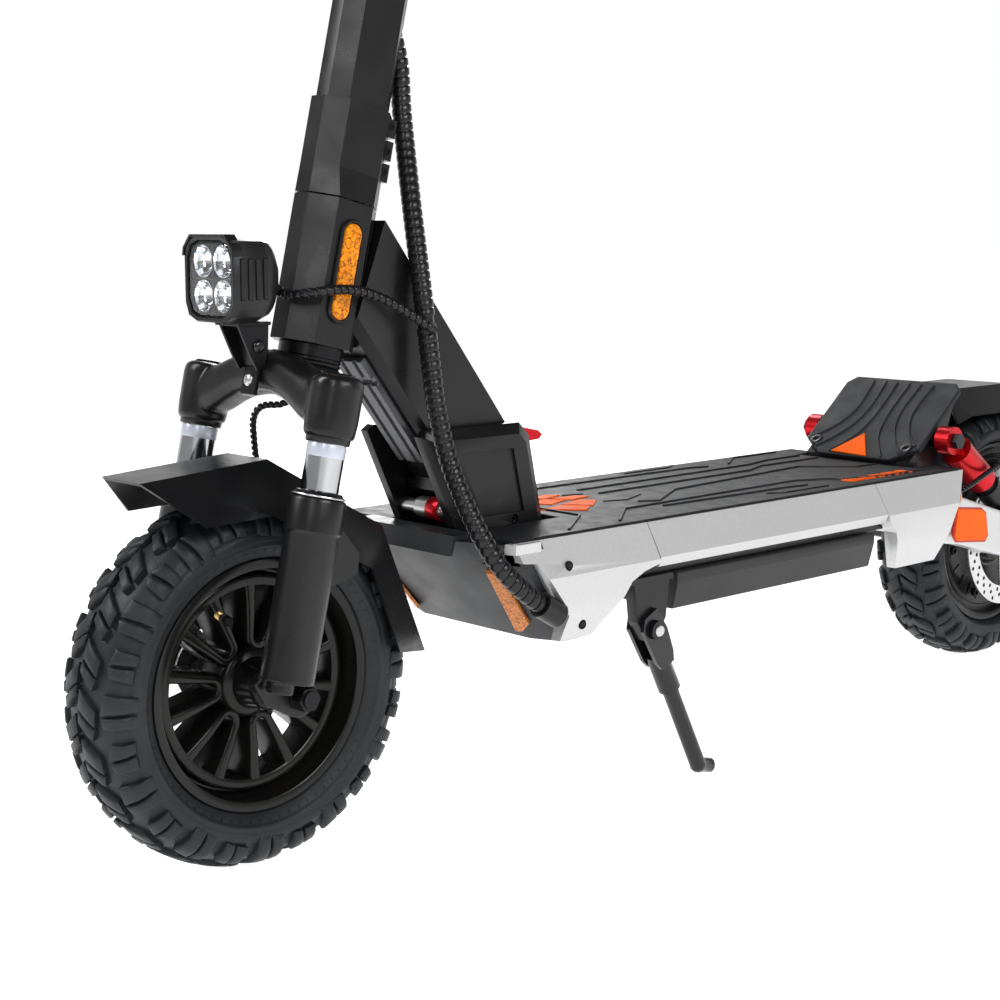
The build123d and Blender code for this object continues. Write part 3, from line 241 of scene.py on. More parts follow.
def lacquer(name, colour, rough, metal, **fixed):
    """Silver lacquer: metal flakes under a clear coat."""
    n = Nodes(name)
    flakes = n.ramp(n.cells(2600.0, output="Color"), 0.0, 1.0)
    tone = n.mix(flakes, shade(colour, 0.86), shade(colour, 1.12))
    drift = n.ramp(n.noise(7.0, 4.0), 0.35, 0.65, 0.0, 0.3)
    n.drive("Base Color", n.mix(drift, tone, shade(colour, 0.9)))
    n.drive("Roughness", n.ramp(flakes, 0.0, 1.0, rough - 0.05, rough + 0.08))
    n.drive("Normal", n.bump(n.noise(1500.0, 2.0), 0.05, 0.0002))
    n.fixed(Metallic=metal, Coat_Weight=0.25, Coat_Roughness=0.2, **fixed)
    return n.material


def brushed(name, colour, rough, stretch=(40.0, 1400.0, 1400.0), **fixed):
    """Bare metal with fine lines from turning or drawing."""
    n = Nodes(name)
    lines = n.noise(1.0, 3.0, n.stretched(stretch))
    n.drive("Base Color", n.mix(n.ramp(lines, 0.3, 0.7), shade(colour, 0.8), shade(colour, 1.08)))
    n.drive("Roughness", n.ramp(lines, 0.3, 0.7, rough - 0.05, rough + 0.1))
    n.drive("Normal", n.bump(lines, 0.08, 0.0002))
    n.fixed(Metallic=1.0, **fixed)
    return n.material


def prismatic(name, colour, painted_shade_colour, **fixed):
    """Reflector plastic with a honeycomb of small prisms, its light painted in: each prism is painted lit or
    shaded, and lighter at its centre as a painted glint.
    """
    n = Nodes(name)
    cells = n.cells(520.0)
    lit_and_shaded_facets = n.cells(520.0, output="Color")
    # painted lit and shaded facets: each prism takes a tone between the painted shade colour and the lit colour
    tone = n.mix(n.ramp(lit_and_shaded_facets, 0.2, 0.8), painted_shade_colour, colour)
    # painted glint: each prism is painted lighter at its centre than at its edge
    n.drive("Base Color", n.mix(n.ramp(cells, 0.0, 0.6), shade(colour, 1.15), tone))
    n.drive("Roughness", n.ramp(n.noise(50.0), 0.3, 0.7, 0.12, 0.24))
    n.drive("Normal", n.bump(cells, 0.55, 0.0006))
    n.fixed(Coat_Weight=0.15, Coat_Roughness=0.05, Specular_IOR_Level=0.3, **fixed)
    return n.material


def rubber(name, colour, rough, pores=1300.0, relief=0.25, **fixed):
    """Moulded rubber: open pores, a dry bloom and darker hollows."""
    n = Nodes(name)
    bloom = n.ramp(n.noise(16.0, 6.0), 0.4, 0.7)
    n.drive("Base Color", n.mix(bloom, shade(colour, 0.8), shade(colour, 1.3)))
    n.drive("Roughness", n.ramp(n.noise(70.0, 5.0), 0.3, 0.7, rough - 0.08, rough + 0.08))
    pitted = n.bump(n.cells(pores), relief, 0.0003)
    n.drive("Normal", n.bump(n.noise(120.0, 6.0), 0.1, 0.0006, pitted))
    n.fixed(Specular_IOR_Level=0.35, **fixed)
    return n.material


def clear(name, tint, rough, **fixed):
    n = Nodes(name)
    n.drive("Base Color", n.mix(n.noise(30.0), tint, shade(tint, 0.97)))
    n.drive("Roughness", n.ramp(n.noise(90.0), 0.3, 0.7, rough, rough + 0.02))
    n.fixed(Transmission_Weight=1.0, IOR=1.47, **fixed)
    return n.material


LOOKS = {
    "satin_black_paint": coated("satin_black_paint", (0.0068, 0.007, 0.0078), 0.3, grain=1400, relief=0.08),
    "cast_silver": lacquer("cast_silver", (0.62, 0.62, 0.625), 0.33, 0.5),
    "nose_plastic": coated("nose_plastic", (0.02, 0.0215, 0.0245), 0.42, grain=1100, relief=0.3),
    # the second colour is the painted shade of the prism facets
    "amber_reflector": prismatic("amber_reflector", (0.98, 0.31, 0.0), (0.3, 0.055, 0.0)),
    "deck_rubber": rubber("deck_rubber", (0.0125, 0.0135, 0.016), 0.58),
    "battery_shell": coated("battery_shell", (0.019, 0.0185, 0.0185), 0.36, grain=1200),
    "zinc_steel": brushed("zinc_steel", (0.62, 0.62, 0.62), 0.3),
    "black_steel": coated("black_steel", (0.0095, 0.0095, 0.011), 0.3, metal=0.5),
    "channel_grey": coated("channel_grey", (0.075, 0.076, 0.082), 0.28, metal=0.5),
    "red_anodised": coated("red_anodised", (0.62, 0.012, 0.02), 0.27, metal=0.75, grain=1800, relief=0.05),
    "shock_black": coated("shock_black", (0.02, 0.02, 0.022), 0.33, metal=0.4),
    "chrome": coated("chrome", (0.5, 0.51, 0.53), 0.09, metal=1.0, relief=0.02, wear=0.05),
    "grip_rubber": rubber("grip_rubber", (0.02, 0.02, 0.022), 0.7),
    "black_plastic": coated("black_plastic", (0.0075, 0.0075, 0.0085), 0.34, grain=1100, relief=0.2),
    "lever_aluminium": coated("lever_aluminium", (0.03, 0.03, 0.033), 0.3, metal=0.8),
    "lamp_lens": clear("lamp_lens", (0.96, 0.98, 1.0), 0.02),
    "wheel_black": coated("wheel_black", (0.0105, 0.0098, 0.0092), 0.24, metal=0.35, grain=1500, relief=0.08),
    "tyre_rubber": rubber("tyre_rubber", (0.0115, 0.0135, 0.0165), 0.5, 1000.0, 0.25),
    "disc_steel": brushed("disc_steel", (0.68, 0.68, 0.68), 0.28, (20.0, 700.0, 700.0)),
    "fender_bright": coated("fender_bright", (0.012, 0.012, 0.0135), 0.33),
    "gloss_black": coated("gloss_black", (0.007, 0.007, 0.0085), 0.12, relief=0.02, Coat_Weight=0.2),
    "cable_sleeve": coated("cable_sleeve", (0.008, 0.008, 0.0095), 0.28, grain=700, relief=0.06),
    "frosted": coated("frosted", (0.62, 0.66, 0.75), 0.35, metal=0.4),
    "brass": brushed("brass", (0.78, 0.52, 0.2), 0.25),
    "orange_print": coated("orange_print", (0.9, 0.115, 0.0), 0.6, wear=0.0, Specular_IOR_Level=0.1),
    # the second colour is the painted shade of the prism facets
    "dull_amber": prismatic("dull_amber", (0.62, 0.2, 0.03), (0.3, 0.08, 0.012)),
    "flat_amber": coated("flat_amber", (0.95, 0.13, 0.0), 0.35, wear=0.0, Specular_IOR_Level=0.1),
    "red_trim": coated("red_trim", (0.5, 0.02, 0.015), 0.3),
    "mirror": brushed("mirror", (0.9, 0.91, 0.93), 0.06, (300.0, 300.0, 300.0)),
    "led": coated("led", (0.85, 0.8, 0.45), 0.3, wear=0.05),
    "screen": coated("screen", (0.01, 0.011, 0.014), 0.08, relief=0.01, Coat_Weight=1.0),
    "screen_light": coated("screen_light", (0.35, 0.6, 0.7), 0.3, wear=0.02),
}


# ------------------------------------------------------------ shapes, in millimetres


class Shape:
    """Closed shells gathered into one piece."""

    def __init__(self):
        self.verts = []
        self.faces = []

    def add(self, shell, place=None):
        verts, faces = shell
        start = len(self.verts)
        for v in verts:
            v = Vector(v) * MM
            self.verts.append(place @ v if place is not None else v)
        self.faces.extend([start + k for k in face] for face in faces)
        return self


def turned(rings, count=48, closed=False):
    """Solid turned about Z from (z, radius) rings; a third value makes the ring a hexagon."""
    verts, faces = [], []
    for ring in rings:
        z, radius = ring[0], ring[1]
        for k in range(count):
            angle = 2 * pi * k / count
            r = radius
            if len(ring) > 2:
                r = radius * cos(pi / 6) / cos((angle % (pi / 3)) - pi / 6)
            verts.append((r * cos(angle), r * sin(angle), z))
    pairs = list(zip(range(len(rings)), range(1, len(rings))))
    if closed:
        pairs.append((len(rings) - 1, 0))
    for low, high in pairs:
        for k in range(count):
            j = (k + 1) % count
            faces.append((low * count + k, low * count + j, high * count + j, high * count + k))
    if not closed:
        faces.append(tuple(range(count))[::-1])
        faces.append(tuple((len(rings) - 1) * count + k for k in range(count)))
    return verts, faces


def prism(outline, low, high, draft=0.0):
    """Prism of a closed (x, y) outline between two heights; its top is drawn in by the draft."""
    count = len(outline)
    middle = (sum(p[0] for p in outline) / count, sum(p[1] for p in outline) / count)
    verts = [(x, y, low) for x, y in outline]
    for x, y in outline:
        reach = max(hypot(x - middle[0], y - middle[1]), 0.01)
        keep = 1 - min(draft / reach, 0.8)
        verts.append((middle[0] + (x - middle[0]) * keep, middle[1] + (y - middle[1]) * keep, high))
    faces = [tuple(range(count))[::-1], tuple(range(count, 2 * count))]
    faces += [(k, (k + 1) % count, count + (k + 1) % count, count + k) for k in range(count)]
    return verts, faces


def box(x0, x1, y0, y1, z0, z1):
    return prism([(x0, y0), (x1, y0), (x1, y1), (x0, y1)], z0, z1)


def strip(line, width, low, high, draft=0.5):
    """Raised ridge of constant width along an open (x, y) line, its corners mitred."""
    offsets = []
    for k, here in enumerate(line):
        before, after = line[max(k - 1, 0)], line[min(k + 1, len(line) - 1)]
        run_in = Vector(here) - Vector(before) if k else Vector(after) - Vector(here)
        run_out = Vector(after) - Vector(here) if k < len(line) - 1 else run_in
        normals = [Vector((-run.y, run.x)).normalized() for run in (run_in, run_out)]
        middle = (normals[0] + normals[1]).normalized()
        offsets.append(middle / max(middle.dot(normals[0]), 0.4))
    sections = []
    for (x, y), out in zip(line, offsets):
        sections.append([(x + out.x * share, y + out.y * share, z) for share, z in (
            (-width / 2, low), (-width / 2 + draft, high), (width / 2 - draft, high), (width / 2, low))])
    return stacked(sections)


def rounded_square(half, radius, steps=6):
    outline = []
    for k in range(4):
        cx, cy = [(1, 1), (-1, 1), (-1, -1), (1, -1)][k]
        for j in range(steps + 1):
            angle = pi / 2 * (k + j / steps)
            outline.append(((half - radius) * cx + radius * cos(angle),
                            (half - radius) * cy + radius * sin(angle)))
    return outline


def stacked(sections, closed=False):
    """Shell through sections with the same number of points; closed joins the last to the first."""
    count = len(sections[0])
    verts = [p for section in sections for p in section]
    faces = []
    last = len(sections) if closed else len(sections) - 1
    for row in range(last):
        a, b = row * count, ((row + 1) % len(sections)) * count
        faces += [(a + k, a + (k + 1) % count, b + (k + 1) % count, b + k) for k in range(count)]
    if not closed:
        faces.append(tuple(range(count))[::-1])
        faces.append(tuple(len(verts) - count + k for k in range(count)))
    return verts, faces


def fit(obj, body, look, nodes=(), slot=None):
    """Gives a finished piece its material and its body, and hides the CAD nodes that it stands for."""
    obj.data.materials.clear()
    obj.data.materials.append(LOOKS[look])
    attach(obj, body)
    slot = slot or (SLOT_OF[nodes[0]] if nodes else look)
    if nodes:
        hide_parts(*nodes)
    return obj


def mesh_piece(name, mesh, sharp=38.0, bevel=0.0, segments=2):
    """Object from a mesh: welded, normals outwards, smooth but for real edges, which get a bevel."""
    work = bmesh.new()
    work.from_mesh(mesh)
    bmesh.ops.remove_doubles(work, verts=work.verts, dist=2e-6)
    bmesh.ops.recalc_face_normals(work, faces=work.faces)
    work.to_mesh(mesh)
    work.free()
    mesh.shade_smooth()
    mesh.set_sharp_from_angle(angle=radians(sharp))
    obj = bpy.data.objects.new(name, mesh)
    bpy.context.scene.collection.objects.link(obj)
    if bevel:
        rounding = obj.modifiers.new("edges", "BEVEL")
        rounding.width = bevel * MM
        rounding.segments = segments
        rounding.limit_method = "ANGLE"
        rounding.angle_limit = radians(sharp - 6)
        rounding.harden_normals = True
    return obj


def mesh_of(name, shape):
    mesh = bpy.data.meshes.new(name)
    mesh.from_pydata([tuple(v) for v in shape.verts], [], shape.faces)
    return mesh


def build(name, shape, body, look, nodes=(), slot=None, **finish):
    return fit(mesh_piece(name, mesh_of(name, shape), **finish), body, look, nodes, slot)


def hand(side):
    """Letter for the left (+1) or the right (-1) one of a pair."""
    return "l" if side > 0 else "r"


def flat_mesh(node):
    """Copy of a CAD node's mesh with its flat faces merged."""
    work = bmesh.new()
    work.from_mesh(NODES[node].data)
    bmesh.ops.remove_doubles(work, verts=work.verts, dist=2e-6)
    bmesh.ops.dissolve_limit(work, angle_limit=radians(0.8), verts=work.verts, edges=work.edges)
    mesh = bpy.data.meshes.new(node)
    work.to_mesh(mesh)
    work.free()
    return mesh


def crisp(node, bevel, look=None, sharp=32.0, segments=2):
    """Piece with a CAD node's shape and softened edges."""
    obj = mesh_piece(node + ".finish", flat_mesh(node), sharp=sharp, bevel=bevel, segments=segments)
    return fit(obj, BODY_OF[node], look or SLOT_OF[node], (node,))


def applied(obj):
    """Replaces an object's mesh by what its modifiers make of it."""
    graph = bpy.context.evaluated_depsgraph_get()
    mesh = bpy.data.meshes.new_from_object(obj.evaluated_get(graph))
    obj.modifiers.clear()
    obj.data = mesh
    return obj


def cast_piece(name, mesh, voxel, rounds, body, look, nodes=(), slot=None, factor=0.5):
    """Rounded casting: the shells melt into one skin whose corners are drawn smooth."""
    obj = mesh_piece(name, mesh)
    melt = obj.modifiers.new("melt", "REMESH")
    melt.mode = "VOXEL"
    melt.voxel_size = voxel * MM
    melt.use_smooth_shade = True
    soften = obj.modifiers.new("soften", "SMOOTH")
    soften.iterations = rounds
    soften.factor = factor
    bpy.context.view_layer.update()
    applied(obj)
    obj.data.shade_smooth()
    return fit(obj, body, look, nodes, slot)


# ------------------------------------------------------------ cables and hoses


def route_line(points):
    """Closely spaced points of the smooth spline that a route's points control."""
    curve = bpy.data.curves.new("route", "CURVE")
    curve.dimensions = "3D"
    spline = curve.splines.new("NURBS")
    spline.points.add(len(points) - 1)
    for control, place in zip(spline.points, points):
        control.co = (*place, 1)
    spline.order_u = 3
    spline.use_endpoint_u = True
    spline.resolution_u = 20
    holder = bpy.data.objects.new("route", curve)
    mesh = bpy.data.meshes.new_from_object(holder)
    line = [v.co.copy() for v in mesh.vertices]
    bpy.data.objects.remove(holder)
    bpy.data.meshes.remove(mesh)
    return line


def spaced(line, step):
    """The same line at an even spacing, with its length."""
    at = np.array(line, float)
    run = np.concatenate(([0.0], np.cumsum(np.linalg.norm(np.diff(at, axis=0), axis=1))))
    count = max(2, int(round(run[-1] / step)) + 1)
    where = np.linspace(0, run[-1], count)
    return [Vector([np.interp(w, run, at[:, k]) for k in range(3)]) for w in where], run[-1]


def frames_along(line):
    """A tangent and two turning-free normals at each point of a line."""
    rows = []
    normal = None
    for k, here in enumerate(line):
        ahead = (line[min(k + 1, len(line) - 1)] - line[max(k - 1, 0)]).normalized()
        if normal is None:
            normal = ahead.orthogonal().normalized()
        normal = (normal - ahead * normal.dot(ahead)).normalized()
        rows.append((here, ahead, normal, ahead.cross(normal)))
    return rows


def tube_shell(line, radius, count=16):
    sections = []
    for here, _, first, second in frames_along(line):
        sections.append([(here + (first * cos(a) + second * sin(a)) * radius) / MM
                         for a in (2 * pi * k / count for k in range(count))])
    return stacked(sections)


def wrap_shell(line, inner, outer, width, pitch):
    """Spiral band wound round a line, its outer edges rounded off."""
    fine, length = spaced(line, pitch / 22)
    sections = []
    profile = [(-0.5, inner), (-0.5, outer - 0.35 * MM), (-0.32, outer), (0.32, outer),
               (0.5, outer - 0.35 * MM), (0.5, inner)]
    travel = 0.0
    step = length / (len(fine) - 1)
    for here, ahead, first, second in frames_along(fine):
        angle = 2 * pi * travel / pitch
        out = first * cos(angle) + second * sin(angle)
        sections.append([(here + ahead * (share * width) + out * reach) / MM for share, reach in profile])
        travel += step
    margin = int(width / step / 2) + 1
    return stacked(sections[margin:-margin])


def loose_mesh(name, shell, look, sharp=50.0):
    obj = mesh_piece(name, mesh_of(name, Shape().add(shell)), sharp=sharp)
    obj.data.materials.append(LOOKS[look])
    return obj


def held_cable(node, points, diameter, bodies, bend, wrapped=None, look="cable_sleeve"):
    """Cable between two places on the object; where a joint parts two bodies it is left attached to neither, else
    it moves with the first body.
    """
    line, length = spaced(route_line(points), 2 * MM)
    core = diameter / 2 - (1.1 * MM if wrapped else 0)
    pieces = [loose_mesh(node + ".sleeve", tube_shell(line, core), look)]
    if wrapped:
        width, pitch = wrapped
        band = wrap_shell(line, core - 0.2 * MM, diameter / 2, width * MM, pitch * MM)
        pieces.append(loose_mesh(node + ".wrap", band, look, 40.0))
    for obj in pieces:
        if bend:
            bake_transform(obj)
        else:
            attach(obj, bodies[0])
    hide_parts(node)
    return line


BUNDLE_D = 14 * MM
LEAD_D = 7 * MM
HOSE_D = 5 * MM


def caliper_top(axle, angle, x, above):
    """Point above the outer end of a caliper."""
    reach = 80 + above
    return axle + point(x, reach * cos(radians(angle)), reach * sin(radians(angle)))


def make_cables():
    upper = [steer(0, 18, 464), steer(0, 33, 444), point(2, -306, 520), point(6, -306, 492),
             point(22, -313.5, 446), point(36.5, -318, 397), point(40.5, -317, 367)]
    lower = [point(40.5, -317, 367), point(44.5, -316, 337), point(51, -317, 306), point(60, -313, 268),
             point(77, -307, 230), point(92.5, -293.5, 195), point(100, -271, 173), point(100.5, -256, 164)]
    lead = [point(0, -429, 400), point(0, -420, 396), point(12, -417, 388), point(30, -409, 390),
            point(37, -390, 393), point(38, -365, 390), point(45, -337, 376), point(52, -318, 362)]
    held_cable("cable_upper", upper, BUNDLE_D, ("steering", "front_frame"), (upper[2], upper[-1]), (5.4, 6.4))
    held_cable("cable_lower", lower, BUNDLE_D, ("front_frame", "deck"), (lower[1], lower[-2]), (5.4, 6.4))
    held_cable("headlight_lead", lead, LEAD_D, ("steering", "front_frame"), (lead[2], lead[-2]), (4.2, 5.2))
    front = [steer(0, 2, 215), steer(-6, 0, 188), point(-38, -411, 312), point(-49, -401, 274),
             point(-60, -388, 238), point(-58, -372, 206), caliper_top(FRONT_AXLE, 35, -54, 13),
             caliper_top(FRONT_AXLE, 35, -54, 0.1)]
    held_cable("front_brake_hose", front, HOSE_D, ("steering", "fork_lower"), (front[2], front[5]),
        (3.4, 4.6))
    rear = [point(84, 250, 188), point(84, 268, 188), point(93, 291, 194), point(93, 329, 206.4),
            point(93, 362, 217), point(92, 425, 223), point(80, 480, 218),
            caliper_top(REAR_AXLE, 55, 48, 18), caliper_top(REAR_AXLE, 55, 48, 2)]
    held_cable("rear_brake_hose", rear, HOSE_D, ("deck", "swing"), (rear[2], rear[5]), (3.2, 4.2))


def make_lever_hoses():
    """Two hydraulic hoses and the throttle wire between the handlebar and the stem."""
    runs = []
    for sign in (-1, 1):
        runs.append(([steer(sign * 133, -22, 1106), steer(sign * 110, -28, 1104), steer(sign * 66, -50, 1092),
                      steer(sign * 22, -58, 1062), steer(sign * 8, -42, 1017), steer(sign * 8, -22, 1015)],
                     HOSE_D))
    runs.append(([steer(-110.4, -2, 1092), steer(-90, -14, 1084), steer(-40, -42, 1060),
                  steer(-6, -52, 1034), steer(0, -38, 1017), steer(0, -22, 1015)], 4 * MM))
    for number, (points, diameter) in enumerate(runs):
        line, length = spaced(route_line(points), 2 * MM)
        obj = loose_mesh(f"lever_hose.{number}", tube_shell(line, diameter / 2), "cable_sleeve")
        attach(obj, "steering")
        if number == 0:
            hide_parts("lever_hoses")


make_cables()
make_lever_hoses()
make_studio()


# ------------------------------------------------------------ wheels


def smoothed(line, rounds=3):
    """Corner-cut copy of an open polyline that keeps its two ends."""
    for _ in range(rounds):
        cut = [line[0]]
        for a, b in zip(line, line[1:]):
            cut.append(tuple(0.75 * p + 0.25 * q for p, q in zip(a, b)))
            cut.append(tuple(0.25 * p + 0.75 * q for p, q in zip(a, b)))
        line = cut + [line[-1]]
    return line


class Section:
    """Cross-section of a tyre, run along from the middle of the tread to the bead."""

    def __init__(self, bead_r):
        outline = [(0, 128), (8, 128), (20, 125.5), (29, 120), (33.5, 114), (35, 107), (34, 100), (31, 93),
                   (26, bead_r)]
        self.at = np.array(smoothed(outline), float)
        self.run = np.concatenate(([0.0], np.cumsum(np.linalg.norm(np.diff(self.at, axis=0), axis=1))))
        self.length = self.run[-1]

    def point(self, w, depth):
        """(x, radius) at w across the tread and depth below the outer surface."""
        side = 1 if w >= 0 else -1
        w = abs(w)
        here = np.array([np.interp(w, self.run, self.at[:, k]) for k in (0, 1)])
        ahead = np.array([np.interp(w + 0.5, self.run, self.at[:, k]) for k in (0, 1)])
        back = np.array([np.interp(max(w - 0.5, 0), self.run, self.at[:, k]) for k in (0, 1)])
        along = (ahead - back) / max(np.linalg.norm(ahead - back), 1e-9)
        x, radius = here - depth * np.array((-along[1], along[0]))
        return side * x, radius


GROOVE = 4.3
PITCHES = 24


def tread_depth(w):
    """How far the carcass lies under the outer surface, w millimetres across."""
    return float(np.interp(abs(w), [0, 43, 47, 51, 54, 55.5, 57, 58.5],
        [GROOVE, GROOVE, 1.6, 0.8, 0.8, 0, 0, 0.8]))


def carcass(section, count=144):
    rings = []
    across_w = list(np.linspace(-section.length, section.length, 91))
    for w in across_w:
        x, radius = section.point(w, tread_depth(w))
        rings.append((x, radius))
    bead = section.at[-1]
    rings += [(bead[0] - 3, bead[1]), (24, 97), (28, 105), (25, 114), (0, 117.5), (-25, 114), (-28, 105),
              (-24, 97), (-bead[0] + 3, bead[1])]
    return turned(rings, count, closed=True)


def block_shell(section, corners, start):
    """Tread block over four (pitch share, w) corners, its top edges rounded."""
    across_n = along_n = 5
    pitch = 2 * pi / PITCHES

    def place(u, v, depth):
        a, b, c, d = corners
        share = (1 - v) * ((1 - u) * a[0] + u * b[0]) + v * ((1 - u) * d[0] + u * c[0])
        w = (1 - v) * ((1 - u) * a[1] + u * b[1]) + v * ((1 - u) * d[1] + u * c[1])
        x, radius = section.point(w, depth)
        angle = start + share * pitch
        return (radius * cos(angle), radius * sin(angle), x)

    def shares(n):
        edge = 0.09
        return [0.0] + [edge + (1 - 2 * edge) * k / (n - 2) for k in range(n - 1)] + [1.0]

    us, vs = shares(across_n), shares(along_n)
    verts, faces = [], []
    for i, u in enumerate(us):
        for j, v in enumerate(vs):
            rim = i in (0, across_n) or j in (0, along_n)
            verts.append(place(u, v, 0.9 if rim else 0.0))
    row = along_n + 1
    for i in range(across_n):
        for j in range(along_n):
            faces.append((i * row + j, (i + 1) * row + j, (i + 1) * row + j + 1, i * row + j + 1))
    border = [i * row for i in range(across_n)] + [across_n * row + j for j in range(along_n)]
    border += [i * row + along_n for i in range(across_n, 0, -1)] + [j for j in range(along_n, 0, -1)]
    base = len(verts)
    for k in border:
        i, j = divmod(k, row)
        verts.append(place(us[i], vs[j], GROOVE + 1.0))
    n = len(border)
    faces += [(border[k], border[(k + 1) % n], base + (k + 1) % n, base + k) for k in range(n)]
    faces.append(tuple(range(base, base + n)))
    return verts, faces


CENTRE_BLOCKS = [
    [(0.02, 2.0), (0.40, 1.2), (0.72, 17.5), (0.40, 18.5)],
    [(0.46, 1.2), (0.66, 1.0), (1.00, 14.5), (0.78, 17.3)],
]
WIDE_SHOULDER = [
    [(0.04, 24.5), (0.46, 22.5), (0.40, 49.0), (0.06, 50.0)],
    [(0.52, 22.6), (0.74, 25.0), (0.80, 47.0), (0.46, 49.0)],
]
SHORT_SHOULDER = [
    [(0.08, 28.0), (0.42, 25.0), (0.36, 44.0), (0.10, 45.5)],
    [(0.48, 25.0), (0.70, 27.5), (0.76, 43.0), (0.42, 44.0)],
]


def make_tyre(name, axle, bead_r, body):
    section = Section(bead_r)
    place = across(axle)
    skin = Shape().add(carcass(section), place)
    build(name + ".carcass", skin, body, "tyre_rubber", (name,), sharp=40)
    blocks = Shape()
    for pitch in range(PITCHES):
        shoulder = WIDE_SHOULDER if pitch % 2 else SHORT_SHOULDER
        for side in (-1, 1):
            start = 2 * pi * (pitch + (0.5 if side > 0 else 0.0)) / PITCHES
            for corners in CENTRE_BLOCKS + shoulder:
                turned_round = [(share, side * w) for share, w in corners]
                if side < 0:
                    turned_round = turned_round[::-1]
                blocks.add(block_shell(section, turned_round, start), place)
    build(name + ".tread", blocks, body, "tyre_rubber", slot="tyre_rubber", sharp=55)
    ribs = Shape()
    for side in (-1, 1):
        for k in range(72):
            angle = 2 * pi * k / 72
            corners = [section.point(side * w, 0.9) for w in (59.5, 62.0)]
            shell = []
            for turn in (-0.008, 0.008):
                for (x, radius), high in ((corners[0], 0), (corners[1], 0), (corners[1], 0.9),
                        (corners[0], 0.9)):
                    reach = radius + high * 0.5
                    shell.append((reach * cos(angle + turn), reach * sin(angle + turn),
                        x + side * high * 0.8))
            ribs.add(stacked([shell[:4], shell[4:]]), place)
    build(name + ".ribs", ribs, body, "tyre_rubber", slot="tyre_rubber")


PETALS = 7
FIRST_PETAL = radians(26)


def petal_shell(x0, x1):
    """One U-shaped loop from the inner ring towards the hub and back, along +X of the wheel plane."""
    lift = radians(12.86)
    tip = (73.5 * cos(lift), 73.5 * sin(lift))
    line = []
    for k in range(7):
        share = k / 6
        line.append((tip[0] + (32 - tip[0]) * share, tip[1] + (7.2 - tip[1]) * share))
    for k in range(1, 8):
        angle = pi / 2 + pi * k / 8
        line.append((32 + 7.2 * cos(angle), 7.2 * sin(angle)))
    line += [(x, -y) for x, y in line[:7][::-1]]
    sections = []
    for k, (x, y) in enumerate(line):
        before, after = line[max(k - 1, 0)], line[min(k + 1, len(line) - 1)]
        dx, dy = after[0] - before[0], after[1] - before[1]
        size = hypot(dx, dy)
        nx, ny = -dy / size, dx / size
        radius = hypot(x, y)
        half = 3.1 + 1.7 * max(0.0, (radius - 34) / 40) + 4.0 * max(0.0, (radius - 66) / 8) ** 2
        ridge = [(-half, x0), (-half, x1 - 2.2), (-half + 0.8, x1 - 0.7), (-half + 2.0, x1),
                 (half - 2.0, x1), (half - 0.8, x1 - 0.7), (half, x1 - 2.2), (half, x0)]
        dip = 2.0 * max(0.0, 1 - (radius - 24) / 24)
        sections.append([(x + nx * a, y + ny * a, z - dip) for a, z in ridge])
    return stacked(sections)


def make_front_wheel():
    place = across(FRONT_AXLE)
    barrel = [(-26, 87), (-22.4, 87), (-20.4, 84), (-9, 80.2), (9, 80.2), (20.4, 84), (22.4, 87), (25.2, 87),
              (26, 86.3), (26, 81), (25.3, 80), (22, 79.3), (5.5, 77.7), (4.5, 77), (4.5, 75.6), (6, 75),
              (12.6, 74.5), (13.8, 73.4), (14, 72), (14, 68.4), (13, 67), (8, 66.3), (-14, 66.5), (-16, 68),
              (-16, 74), (-22, 77), (-25.5, 80), (-26, 81)]
    wheel = Shape().add(turned(barrel, 160, closed=True), place)
    hub = [(-47, 6.1), (-47, 12.4), (-46, 13), (-38, 13.2), (-30, 15), (-22, 20.5), (-14, 24), (8, 24.6),
           (11, 24), (13, 22), (14.5, 18), (20, 16.5), (30, 15.6), (35, 15), (36, 14), (36, 9.3), (33, 9.1),
           (33, 6.1)]
    wheel.add(turned(hub, 72, closed=True), place)
    for k in range(PETALS):
        turn = Matrix.Rotation(FIRST_PETAL + 2 * pi * k / PETALS, 4, "Z")
        wheel.add(petal_shell(-16, 13.6), place @ turn)
    build("front_rim.cast", wheel, "front_wheel", "wheel_black", ("front_rim",), sharp=42)
    bearing = Shape()
    bearing.add(turned([(33.4, 6.2), (35.2, 6.2), (35.4, 6.6), (35.4, 7.4), (35.0, 7.6), (35.0, 8.3),
                        (35.4, 8.5), (35.4, 9.0), (33.4, 9.0)], 48, closed=True), place)
    bearing.add(turned([(36.05, 9.4), (36.05, 12.4), (36.5, 12.2), (36.7, 11.8), (36.7, 9.9)], 48, True),
        place)
    build("front_bearing", bearing, "front_wheel", "zinc_steel", sharp=30)
    make_valve(place, radians(117), "front_wheel", "front_valve", 66.0)


def make_valve(place, angle, body, name, root):
    """Bent brass valve stem with a black cap, rising from the inner ring."""
    radial = Vector((cos(angle), sin(angle), 0))
    side = Vector((-sin(angle), cos(angle), 0))
    out = Vector((0, 0, 1))
    line = [radial * (root + 2) + out * 3, radial * (root - 3) + out * 4, radial * (root - 7) + out * 8,
            radial * (root - 9) + out * 14 + side * 1, radial * (root - 9.5) + out * 20 + side * 2]
    fine, _ = spaced(route_line([p * MM for p in line]), 1.2 * MM)
    stem = Shape().add(tube_shell(fine, 2.6 * MM, 20), place)
    collar = Shape()
    end, before = fine[-1] / MM, fine[-4] / MM
    ahead = (end - before).normalized()
    aim = place @ aimed(end * MM, ahead)
    for k in range(4):
        stem.add(turned([(-8 + 1.8 * k, 2.5), (-7.6 + 1.8 * k, 3.0), (-7.0 + 1.8 * k, 3.0),
            (-6.6 + 1.8 * k, 2.5)], 20), aim)
    build(name, stem, body, "brass", slot="zinc_steel", sharp=45)
    collar.add(turned([(-1, 3.0), (-0.6, 3.5), (2, 3.6), (2.4, 3.1), (3.0, 3.1), (3.4, 3.5), (7, 3.3),
        (8, 2.6)], 24), aim)
    build(name + ".cap", collar, body, "black_plastic")


